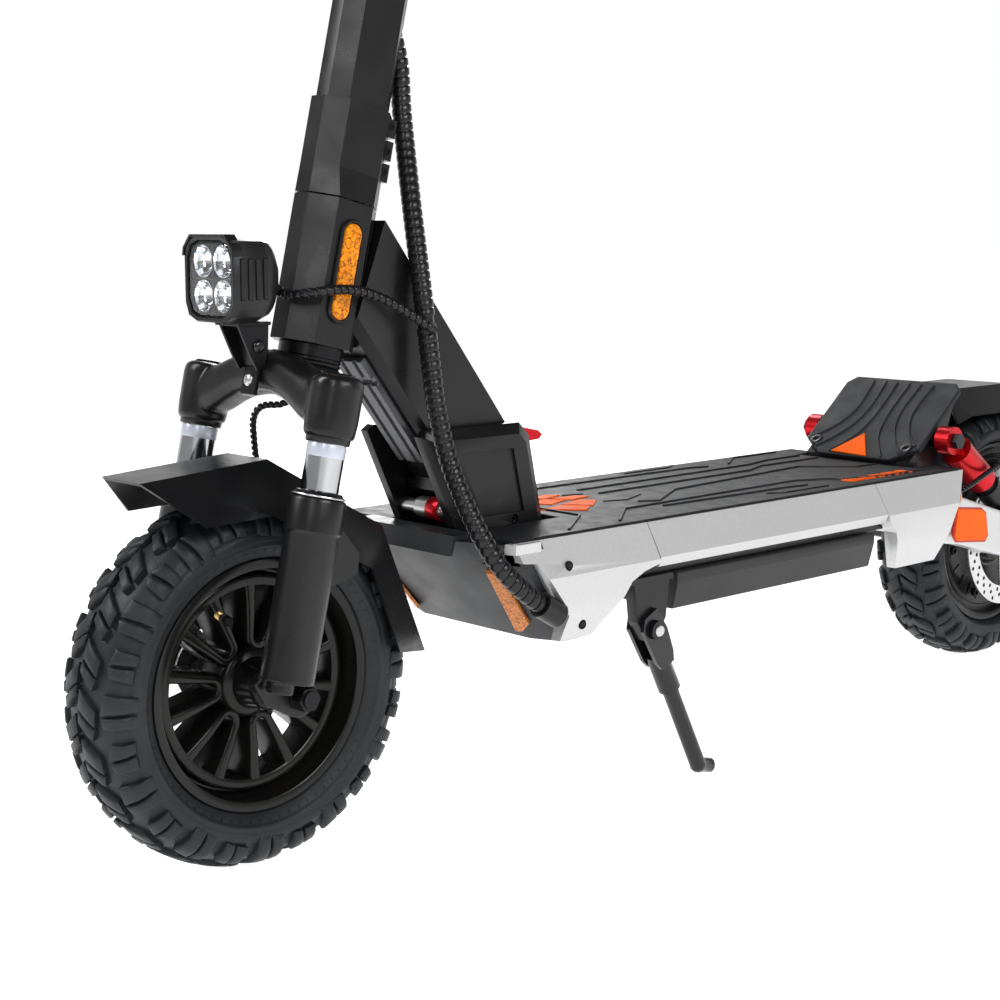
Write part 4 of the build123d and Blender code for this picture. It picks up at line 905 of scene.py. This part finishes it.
def make_rear_wheel():
    place = across(REAR_AXLE)
    shell = [(-26, 91), (-22.5, 91), (-20.5, 87), (20.5, 87), (22.5, 91), (25.2, 91), (26, 90.2), (26, 85),
        (25, 83.6), (22, 81.6), (20.6, 79.5), (20.4, 76), (21.6, 74.8), (22, 73), (21.2, 55), (21.4, 36),
        (22.4, 33), (24, 31.5), (29, 29), (30.4, 27), (33, 18), (34, 14), (34, 7.1), (-34, 7.1), (-34, 14),
        (-33, 18), (-30.4, 27), (-24, 31.5), (-21.6, 36), (-21.2, 55), (-22, 73), (-20.4, 77), (-22, 81.6),
        (-25, 83.6), (-26, 85)]
    motor = Shape().add(turned(shell, 144, closed=True), place)
    for k in range(24):
        turn = Matrix.Rotation(2 * pi * k / 24, 4, "Z")
        motor.add(box(58, 70, -1.2, 1.2, 20.8, 22.6), place @ turn)
    build("hub_motor.shell", motor, "rear_wheel", "wheel_black", ("hub_motor",), sharp=36)
    for side in (-1, 1):
        for k in range(6):
            angle = 2 * pi * k / 6 + 0.2
            centre = REAR_AXLE + point(side * 21.3, 64 * cos(angle), 64 * sin(angle))
            screw(f"motor_screw.{hand(side)}{k}", centre, (side, 0, 0), 4.4, 2.6, "rear_wheel", "black_steel")


# ------------------------------------------------------------ screws and small hardware


def screw(name, centre, direction, radius, height, body, look="black_steel", recess=0.55):
    """Socket-head screw with a hexagonal recess."""
    inner = radius * recess
    rings = [(-1.0, radius), (height * 0.72, radius), (height * 0.93, radius * 0.93), (height, radius * 0.82),
             (height, inner * 1.12), (height - 0.25, inner, 6), (height * 0.25, inner, 6)]
    return build(name, Shape().add(turned(rings, 24), aimed(centre, direction)), body, look, sharp=35)


def cross_screw(name, centre, direction, radius, height, body, look):
    """Domed screw with a cross cut in its head."""
    shape = Shape().add(turned([(-1.0, radius), (height * 0.4, radius), (height * 0.8, radius * 0.8),
                                (height, radius * 0.45)], 28), aimed(centre, direction))
    cut = radius * 0.62
    for turn in (0, pi / 2):
        bar = aimed(centre, direction) @ Matrix.Rotation(turn, 4, "Z")
        shape.add(box(-cut, cut, -radius * 0.09, radius * 0.09, height * 0.9, height * 1.04), bar)
    return build(name, shape, body, look, sharp=35)


# ------------------------------------------------------------ fork


LEG_X, LEG_T = 73.3, -29.4


def leg_frame(sign):
    """Frame on the axis of a fork leg, at the height of the front axle."""
    return STEER @ Matrix.Translation(point(sign * LEG_X, LEG_T, 0))


HALF_ARCH = [(76, -29.4, 187, 10, 13), (62, -29.4, 190, 14.5, 17), (50, -29.4, 194, 14.5, 16.5),
             (38, -29.2, 199.5, 14.5, 15.5), (26, -28.6, 204, 15, 14.8), (12, -27.4, 207, 16, 15)]
CROWN_ARCH = [(-row[0], *row[1:]) for row in HALF_ARCH] + [(0, -27, 208, 16.2, 15.2)] + HALF_ARCH[::-1]


def squarish(share):
    """Pushes a circle's sine or cosine outwards, towards a rounded box."""
    return (1 if share >= 0 else -1) * abs(share) ** 0.72


def make_crown():
    shape = Shape()
    sections = []
    for x, t, s, half_t, half_s in CROWN_ARCH:
        sections.append([(x, t + half_t * squarish(cos(a)), s + half_s * squarish(sin(a)))
                         for a in (2 * pi * k / 32 for k in range(32))])
    shape.add(stacked(sections), STEER)
    shape.add(turned([(194, 18), (197, 23), (214, 24), (217.5, 21)], 40), STEER)
    shape.add(box(-21, 21, -30, 4, 196, 215), STEER)
    for sign in (-1, 1):
        leg = leg_frame(sign)
        shape.add(turned([(168, 15.8), (170, 17), (180, 17.8), (203, 17.8), (207, 16.6), (209, 13)], 40), leg)
    cast_piece("crown.cast", mesh_of("crown.cast", shape), 1.3, 14, "steering", "satin_black_paint",
        ("crown",))
    steerer = Shape().add(turned([(212, 14.3), (352, 14.3), (352, 11.3), (212, 11.3)], 48, closed=True),
        STEER)
    build("steerer_tube", steerer, "steering", "zinc_steel")
    spacers = Shape()
    for k in range(2):
        low = 217.2 + 2.8 * k
        spacers.add(turned([(low, 15), (low, 21.4), (low + 0.4, 22), (low + 2.1, 22), (low + 2.5, 21.4),
                            (low + 2.5, 15)], 48, closed=True), STEER)
    build("crown_spacers", spacers, "steering", "black_steel", sharp=30)
    for sign in (-1, 1):
        leg = leg_frame(sign)
        cap = Shape()
        cap.add(turned([(206, 11.0), (209.6, 11.0), (210.4, 10.4), (210.6, 7.6), (209.2, 7.0), (209.2, 4.2),
                        (210.0, 3.6), (210.0, 2.2, 6), (208.2, 2.2, 6)], 36), leg)
        for k in range(18):
            turn = Matrix.Rotation(2 * pi * k / 18, 4, "Z")
            cap.add(box(10.6, 11.7, -0.7, 0.7, 206.4, 209.4), leg @ turn)
        build(f"leg_cap.{hand(sign)}", cap, "steering", "gloss_black", sharp=30)
        seal = Shape().add(turned([(164.5, 12.7), (164.5, 14.0), (165.2, 14.6), (168.6, 14.8), (168.6, 12.7)],
            48, closed=True), leg)
        build(f"socket_seal.{hand(sign)}", seal, "steering", "black_plastic")
        tube = Shape().add(turned([(50, 12.6), (160.2, 12.6), (160.6, 12.7), (166, 12.7), (166, 10.2),
            (50, 10.2)], 64, closed=True), leg)
        build(f"stanchion.{hand(sign)}", tube, "steering", "chrome", ("stanchions",) if sign > 0 else (),
              slot="chrome")
        ring = Shape().add(turned([(155.5, 12.65), (155.5, 12.8), (155.8, 12.92), (163.6, 12.92), (164, 12.8),
                                   (164, 12.65)], 48, closed=True), leg)
        build(f"frosted_ring.{hand(sign)}", ring, "steering", "frosted", slot="chrome")


def make_sliders():
    for sign in (-1, 1):
        leg = leg_frame(sign)
        profile = [(9, 13.1), (9, 17.2), (9.8, 18), (104.5, 18), (106, 18.4), (107.2, 19.1), (126.4, 19.1),
                   (128, 18.6), (128.8, 17.6), (128.8, 13.1)]
        tube = Shape().add(turned(profile, 72, closed=True), leg)
        build(f"slider.{hand(sign)}", tube, "fork_lower", "satin_black_paint",
              ("sliders",) if sign > 0 else (), sharp=30)
        seal = Shape().add(turned([(128.9, 13.0), (128.9, 16.8), (129.4, 17.3), (130.6, 17.2), (131.2, 16.2),
                                   (132.8, 15.2), (133.2, 14.2), (133.2, 13.0)], 56, closed=True), leg)
        build(f"dust_seal.{hand(sign)}", seal, "fork_lower", "black_plastic", sharp=28)
        ring = Shape().add(turned([(129.5, 17.3), (129.5, 17.9), (129.9, 18.1), (130.5, 17.9), (130.5, 17.3)],
            56, closed=True), leg)
        build(f"seal_ring.{hand(sign)}", ring, "fork_lower", "disc_steel", slot="disc_steel")
    work = bmesh.new()
    work.from_mesh(NODES["sliders"].data)
    bmesh.ops.remove_doubles(work, verts=work.verts, dist=2e-6)
    cut = bmesh.ops.bisect_plane(work, geom=work.verts[:] + work.edges[:] + work.faces[:],
                                 plane_co=steer(0, 0, 11), plane_no=STEER_AXIS, clear_outer=True)
    edges = [g for g in cut["geom_cut"] if isinstance(g, bmesh.types.BMEdge)]
    bmesh.ops.holes_fill(work, edges=edges, sides=0)
    bmesh.ops.triangulate(work, faces=work.faces)
    mesh = bpy.data.meshes.new("dropouts")
    work.to_mesh(mesh)
    work.free()
    cast_piece("fork_dropouts", mesh, 0.9, 5, "fork_lower", "satin_black_paint")


# ------------------------------------------------------------ headlight


LAMP = Vector((0, -0.468, 0.400))


def make_headlight():
    """Lamp case, four mirrored bowls with their emitters, and the clear cover."""
    facing = Matrix.Translation(LAMP) @ Matrix.Rotation(pi / 2, 4, "X")
    case = Shape()
    outer = []
    for y, half, radius in ((-1.5, 27.4, 12), (0, 28.4, 13), (8, 28.9, 14), (24, 29, 15.5), (30, 27.5, 15.5),
                            (36, 23.5, 14.5), (41, 19, 13), (42, 17.5, 12)):
        outer.append([(x, z, -y) for x, z in rounded_square(half, radius, 2)])
    inner = [[(x, z, -y) for x, z in rounded_square(half, radius, 2)]
             for y, half, radius in ((15, 23.5, 11), (2.4, 24.8, 11.4), (-1.0, 25.4, 11.8))]
    case.add(stacked(outer + inner, closed=True), facing)
    for side in (-1, 1):
        for k in range(4):
            middle = side * (6 + 6 * k)
            place = facing @ Matrix.Rotation(side * pi / 2, 4, "Y")
            outline = [(middle - 2.2, -14), (middle + 1.2, -14), (middle + 1.2, 14), (middle - 2.2, 14)]
            case.add(prism(outline, 28.0, 29.8, 1.0), place)
    visor = [(-29, 15), (-28, 20.5), (-20, 29), (20, 29), (28, 20.5), (29, 15), (27.4, 15), (26.4, 20),
        (19, 27.2), (-19, 27.2), (-26.4, 20), (-27.4, 15)]
    case.add(prism(visor, -6, 2.5), facing)
    build("headlight_housing.case", case, "steering", "black_plastic", ("headlight_housing",), sharp=34)
    bezel = Shape()
    frame_out = [(x, z, -1.8) for x, z in rounded_square(24.9, 11.5, 2)]
    frame_in = [(x, z, -1.8) for x, z in rounded_square(22.6, 10.5, 2)]
    frame_low = [(x, z, -5.0) for x, z in rounded_square(22.2, 10.2, 2)]
    frame_back = [(x, z, -5.0) for x, z in rounded_square(24.9, 11.5, 2)]
    bezel.add(stacked([frame_out, frame_in, frame_low, frame_back], closed=True), facing)
    bezel.add(box(-22.4, 22.4, -0.8, 0.8, -9, -3.4), facing)
    bezel.add(box(-0.8, 0.8, -22.4, 22.4, -9, -3.4), facing)
    build("headlight_bezel", bezel, "steering", "black_plastic", sharp=30)
    bowls, emitters = Shape(), Shape()
    for cx in (-11.2, 11.2):
        for cz in (-11.2, 11.2):
            at = facing @ Matrix.Translation(point(cx, cz, 0))
            bowl = [(-3.6, 10.4), (-5.4, 9.9), (-8.0, 8.6), (-10.6, 6.4), (-12.4, 3.6), (-12.6, 0.4),
                (-13.4, 0.4), (-13.4, 10.8), (-3.6, 10.8)]
            bowls.add(turned(bowl, 12, closed=True), at)
            emitters.add(turned([(-12.4, 2.7), (-11.4, 2.6), (-10.4, 2.0), (-9.8, 1.0)], 20), at)
            for k in range(6):
                turn = Matrix.Rotation(2 * pi * k / 6 + 0.26, 4, "Z")
                bowls.add(box(7.2, 9.6, -0.5, 0.5, -8.6, -6.6), at @ turn)
    build("headlight_bowls", bowls, "steering", "mirror", slot="lamp_lens", sharp=20)
    build("headlight_emitters", emitters, "steering", "led", slot="lamp_lens")
    lens = Shape()
    sections = [[(x, z, -y) for x, z in rounded_square(half, 11.2, 2)]
                for y, half in ((2.2, 24.2), (1.6, 24.6), (0.6, 24.6), (-0.2, 23.6), (-0.5, 21.5))]
    lens.add(stacked(sections), facing)
    build("headlight_lens.cover", lens, "steering", "lamp_lens", ("headlight_lens",), sharp=25)


def make_lamp_bracket():
    """Folded strap from the front of the crown up to two cheeks under the lamp."""
    bracket = Shape()
    bracket.add(box(-8, 8, -46.6, -43.6, 189, 214), STEER)
    web = [(-437.5, 342), (-434.8, 342.6), (-440.6, 366), (-443.4, 366)]
    bracket.add(prism(web, -9, 9), ACROSS)
    cheek = [(-456, 372), (-430, 372), (-431, 352), (-434, 341), (-440, 339), (-446, 350)]
    for side in (-1, 1):
        bracket.add(prism(cheek, 9.2 if side > 0 else -11.6, 11.6 if side > 0 else -9.2), ACROSS)
        cross_screw(f"cheek_screw.{hand(side)}", point(side * 11.6, -439, 355), (side, 0, 0), 4.6, 2.6,
                    "steering", "gloss_black")
    bracket.add(box(-14, 14, -456, -430, 369, 371.6))
    build("headlight_bracket.strap", bracket, "steering", "black_steel", ("headlight_bracket",), bevel=0.6)
    cross_screw("foot_screw", steer(0, -46.6, 199), -(STEER.to_3x3() @ Vector((0, 1, 0))), 4.4, 2.4,
                "steering", "zinc_steel")


# ------------------------------------------------------------ reflectors


def slot_outline(length, width, steps=10):
    half = (length - width) / 2
    top = [(width / 2 * cos(pi * k / steps),
        half + width / 2 * sin(pi * k / steps)) for k in range(steps + 1)]
    return top + [(-x, -y) for x, y in top]


def make_head_reflectors():
    shape_lens, shape_bezel = Shape(), Shape()
    for side in (-1, 1):
        place = STEER @ Matrix.Translation(point(side * 23, 0, 283)) @ Matrix.Rotation(side * pi / 2, 4, "Y")
        turn = place @ Matrix.Rotation(pi / 2, 4, "Z")
        outer, inner = slot_outline(72, 20), slot_outline(67, 15.2)
        rows = [[(x, y, z) for x, y in ring] for ring,
            z in ((outer, 0), (outer, 1.6), (slot_outline(70.6, 18.6), 2.6), (slot_outline(68, 16), 2.6),
            (inner, 1.9), (inner, 0))]
        shape_bezel.add(stacked(rows, closed=True), turn)
        body = slot_outline(66.6, 14.8)
        rows = [[(x, y, z) for x, y in ring] for ring, z in
                ((body, 0.1), (body, 2.0), (slot_outline(65.4, 13.6), 2.9), (slot_outline(60, 9), 3.1))]
        shape_lens.add(stacked(rows), turn)
    build("head_reflectors.lens", shape_lens, "front_frame", "amber_reflector", ("head_reflectors",),
        sharp=40)
    build("head_reflector_bezels", shape_bezel, "front_frame", "black_plastic", sharp=30)


def facing_plate(corners, low, high, draft):
    """Plate over a flat outline of points, standing out on the side that faces forwards."""
    normal = (corners[1] - corners[0]).cross(corners[3] - corners[0]).normalized()
    if normal.y > 0:
        normal = -normal
    middle = sum(corners, Vector()) / len(corners)
    return stacked([[p + normal * low for p in corners],
                    [p.lerp(middle, draft) + normal * high for p in corners]])


CORNER_LENS = [(64.4, -282.5, 191.3), (73.9, -278.6, 191.4), (69.9, -242.8, 147.3), (59.8, -240.2, 139.1),
               (54.2, -242.0, 138.5)]
SWING_LENS = [(290, 175.5), (330, 171), (338, 166), (343, 145), (338, 140), (291, 145), (286, 150)]


def make_corner_reflectors():
    """Amber plates on the two nose corners, on the swing arm and on the back of the rear castings."""
    nose, swing, rim, tail = Shape(), Shape(), Shape(), Shape()
    for side in (-1, 1):
        corners = [Vector((side * x, y, z)) for x, y, z in CORNER_LENS]
        nose.add(facing_plate(corners, 0.2, 2.6, 0.05))
        swing.add(prism(SWING_LENS, *sorted((side * 85, side * 87.6)), 0.6 * side), ACROSS)
        middle = (316, 158)
        border = [(middle[0] + (y - middle[0]) * 1.07, middle[1] + (z - middle[1]) * 1.1) for y,
            z in SWING_LENS]
        rim.add(prism(border, *sorted((side * 84, side * 86.6))), ACROSS)
        outline = [(-3.4, 0), (3.4, 0), (3.4, 32), (1.6, 37), (-1.6, 37), (-3.4, 32)]
        place = Matrix.Translation(point(side * 98.5, 252.4, 164)) @ Matrix.Rotation(
            pi / 2 - atan2(31, 44), 4, "X") @ Matrix.Rotation(pi, 4, "Y")
        tail.add(prism(outline, 0.2, 2.6, 0.6), place)
    build("corner_reflectors.lens", nose, "deck", "dull_amber", ("corner_reflectors",), bevel=0.4)
    build("swing_reflectors.lens", swing, "swing", "flat_amber", ("swing_reflectors",), bevel=0.3)
    build("swing_reflector_rims", rim, "swing", "red_trim", slot="amber_reflector", bevel=0.5)
    build("tail_reflectors", tail, "deck", "amber_reflector", slot="amber_reflector")


# ------------------------------------------------------------ deck surface


RIDGES = [
    [(88, -168), (52, -124), (46, 96), (60, 128), (70, 131), (82, 180), (82, 262)],
    [(33, -88), (42, -73), (10, -18), (-8, 172), (29, 211), (30, 240)],
    [(-42, -81), (-47, 149), (-56, 186), (-56, 236)],
    [(-64, 141), (-88, 176), (-88, 240)],
    [(-88, -168), (-72, -148), (-70, 90), (-64, 112)],
    [(-18, -80), (-22, 120), (-34, 150), (-34, 236)],
    [(62, -90), (66, 60), (70, 84)],
    [(90, -224), (50, -172), (-50, -172), (-90, -224)],
]
ISLANDS = [
    [(14, -109), (4, -95), (2, -62), (9, -58), (22, -88)],
    [(-30, -112), (-38, -100), (-38, -84), (-24, -92)],
    [(76, 20), (84, 34), (84, 96), (76, 82)],
    [(-84, 20), (-92, 34), (-92, 96), (-84, 82)],
]
SHARDS = [
    [(37, -150), (12, -176), (6, -150), (24, -134)], [(24, -130), (4, -146), (-4, -118), (6, -108)],
    [(-2, -150), (-22, -168), (-24, -138), (-10, -128)], [(-26, -134), (-40, -152), (-40, -118), (-32, -112)],
    [(-8, -122), (-24, -130), (-22, -104), (-12, -98)],
]


def make_deck_mat():
    crisp("deck_mat", 1.2)
    top = 216.0
    ridges = Shape()
    for line in RIDGES:
        ridges.add(strip(line, 3.0, top - 0.4, top + 1.4, 0.8))
    for outline in ISLANDS:
        ridges.add(prism(outline, top - 0.4, top + 1.0, 0.8))
    build("deck_mat_ridges", ridges, "deck", "deck_rubber", slot="deck_rubber", sharp=30)
    shards = Shape()
    for outline in SHARDS:
        shards.add(prism(outline, top - 0.2, top + 0.9, 0.3))
    for k in range(9):
        y = 128 + 10.4 * k
        slant = 3.5 if k % 2 else -2.5
        shards.add(prism([(72 - k * 0.4, y), (74 + slant, y + 8.2), (84, y + 7 - slant * 0.4), (83, y + 1.2)],
                         top - 0.2, top + 0.9, 0.3))
    build("deck_mat_shards", shards, "deck", "orange_print", slot="amber_reflector", sharp=30)


def make_kick_pad():
    crisp("kick_pad", 1.4)
    lean = atan2(64, 80)
    slope = Matrix.Translation(point(0, 251, 219)) @ Matrix.Rotation(lean, 4, "X")
    top = 5.5
    shape = Shape()
    for sign in (-1, 1):
        for line in ([(58, 16), (40, 34), (30, 60), (34, 98)], [(48, 4), (28, 26), (17, 56), (20, 98)],
                     [(30, -1), (12, 22), (6, 52), (7, 98)]):
            shape.add(strip([(sign * x, y) for x, y in smoothed(line, 2)], 3.0, top - 0.4, top + 1.1, 0.7),
                slope)
    build("kick_pad_ridges", shape, "deck", "deck_rubber", slot="deck_rubber", sharp=30)
    mark = Shape().add(prism([(-26, -1), (15, -3), (-3, 26)], top - 0.2, top + 1.3, 0.2), slope)
    build("kick_pad_triangle", mark, "deck", "orange_print", slot="amber_reflector", bevel=0.3)
    for side in (-1, 1):
        screw(f"kick_pad_plug.{hand(side)}", slope @ point(side * 51, 12, top - 0.6),
              slope.to_3x3() @ Vector((0, 0, 1)), 6.0, 1.9, "deck", "black_plastic", 0.4)


# ------------------------------------------------------------ handlebar


def make_bar():
    bar = STEER @ Matrix.Translation(point(0, 0, 1106)) @ Matrix.Rotation(pi / 2, 4, "Y")
    for side in (-1, 1):
        grip = Shape()
        rings = [(185, 11.2), (185, 17.6), (185.8, 18.4), (188.4, 18.4), (189.2, 17.6), (189.2, 15.2)]
        for k in range(18):
            z = 191 + 6.3 * k
            rings += [(z, 15.0), (z + 0.7, 15.6), (z + 4.2, 15.6), (z + 4.9, 15.0)]
        rings += [(306, 15.4), (308, 16), (310, 14), (310, 2), (307, 2), (307, 11.2)]
        place = bar if side > 0 else bar @ Matrix.Rotation(pi, 4, "Y")
        grip.add(turned(rings, 40, closed=True), place)
        build(f"grip.{hand(side)}", grip, "steering", "grip_rubber", ("grips",) if side > 0 else (),
              slot="grip_rubber", sharp=28)
    screen = Shape().add(box(-27, 18, -20, 20, 1139.9, 1140.5), STEER)
    build("display_glass", screen, "steering", "screen", slot="black_plastic", bevel=0.2)
    marks = Shape()
    for k in range(5):
        marks.add(box(-22 + 5 * k, -18.5 + 5 * k, -15, -12, 1140.45, 1140.6), STEER)
    marks.add(box(-18, 8, -6, -4.6, 1140.45, 1140.6), STEER)
    marks.add(box(-18, 8, 8, 9.4, 1140.45, 1140.6), STEER)
    marks.add(box(-6, -4.6, -4, 7, 1140.45, 1140.6), STEER)
    build("display_marks", marks, "steering", "screen_light", slot="lamp_lens")


# ------------------------------------------------------------ everything else keeps its CAD shape


CRISP = {
    "deck_frame": 1.0, "left_castings": 1.1, "right_castings": 1.1, "nose_cover": 1.0, "battery_pack": 1.2,
    "controller": 0.5, "fold_plates": 1.1, "fold_pins": 0.6, "kick_plate": 0.7, "cable_gland": 0.8,
    "kickstand_bracket": 0.8, "deck_fixings": 0.5, "main_frame": 1.6, "beam_cover": 0.5,
    "headset_bearings": 0.5, "latch_lever": 1.2, "stem_clamp": 1.1, "clamp_bolts": 0.3, "stem": 1.8,
    "handlebar": 0.3, "display": 0.5, "power_button": 0.5, "bar_controls": 0.7, "brake_lever_left": 1.6,
    "brake_lever_right": 1.6, "throttle_paddle": 1.5, 
    "front_fender": 0.6, "front_caliper": 1.2, "front_disc": 0.2, "swing_hardware": 0.8, "rear_fender": 0.6,
    "rear_caliper": 1.2, "rear_disc": 0.2, "shock_bodies": 1.2, "shock_rods": 0.7, "kickstand_leg": 1.0,
}


def make_cad_pieces():
    for node, bevel in CRISP.items():
        crisp(node, bevel)
    crisp("front_axle", 0.7, "black_steel")
    cast_piece("swing_arm.cast", flat_mesh("swing_arm"), 1.2, 5, "swing", "cast_silver", ("swing_arm",))


def make_screws():
    for side in (-1, 1):
        name = hand(side)
        for k, (y, z) in enumerate(((-237, 193), (-223, 148))):
            screw(f"casting_screw.{name}{k}", point(side * 102.2, y, z), (side, 0, 0), 3.5, 1.8, "deck")
        for k, (y, z) in enumerate(((-419, 219), (-421, 211.5))):
            screw(f"fender_screw.{name}{k}", point(side * 57.6, y, z), (side, 0, 0), 3.6, 2.0, "fork_lower",
                  "zinc_steel", 0.45)
    for side in (-1, 1):
        name = hand(side)
        screw(f"fold_screw.{name}", point(side * 36.2, -231, 218.5), (side, 0, 0), 3.4, 2.6, "deck")


def make_kickstand_pin():
    """Riveted end of the kickstand's pivot."""
    pivot = Vector(JOINTS["kickstand_swing"]["pos_m"])
    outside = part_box("kickstand_bracket")[1][0]
    head = Shape().add(turned([(-2, 4.6), (0.6, 4.6), (1.4, 4.0), (1.6, 2.4)], 28),
                       aimed((outside, pivot.y, pivot.z), (1, 0, 0)))
    build("kickstand_pin", head, "deck", "zinc_steel", sharp=30)


def make_casting_corners():
    """Upper front corners of the front castings, and the red sleeve on the lock shaft."""
    corners = Shape()
    for side in (-1, 1):
        outline = [(side * x, y) for x, y in ((91, -261.6), (100.4, -261.6), (100.4, -286.5), (91, -290))]
        corners.add(prism(outline[::side], 206, 213.6, 0.5))
    build("casting_corners", corners, "deck", "cast_silver", slot="cast_silver", bevel=0.6)
    sleeve = Shape().add(turned([(5, 7.4), (5, 8.4), (5.6, 8.8), (17.6, 8.8), (18.2, 8.4), (18.2, 7.4)], 36,
        True), Matrix.Translation(point(0, -281, 228.5)) @ ACROSS)
    build("lock_sleeve", sleeve, BODY_OF["fold_pins"], "red_anodised", slot="red_anodised")


def make_floor():
    mesh = bpy.data.meshes.new("floor")
    mesh.from_pydata([(-30, -30, 0), (30, -30, 0), (30, 30, 0), (-30, 30, 0)], [], [(0, 1, 2, 3)])
    floor = bpy.data.objects.new("floor", mesh)
    paper = coated("floor", (0.6, 0.6, 0.6), 0.9, grain=40, relief=0.01, wear=0.0)
    shader = paper.node_tree.nodes["Principled BSDF"]
    shader.inputs["Emission Color"].default_value = (1, 1, 1, 1)
    shader.inputs["Emission Strength"].default_value = 0.94
    shader.inputs["Specular IOR Level"].default_value = 0.0
    floor.data.materials.append(paper)
    bpy.context.scene.collection.objects.link(floor)


make_tyre("front_tyre", FRONT_AXLE, 87, "front_wheel")
make_tyre("rear_tyre", REAR_AXLE, 91, "rear_wheel")
make_front_wheel()
make_rear_wheel()
make_crown()
make_sliders()
make_headlight()
make_lamp_bracket()
make_head_reflectors()
make_corner_reflectors()
make_deck_mat()
make_kick_pad()
make_bar()
make_cad_pieces()
make_screws()
make_kickstand_pin()
make_casting_corners()
make_floor()
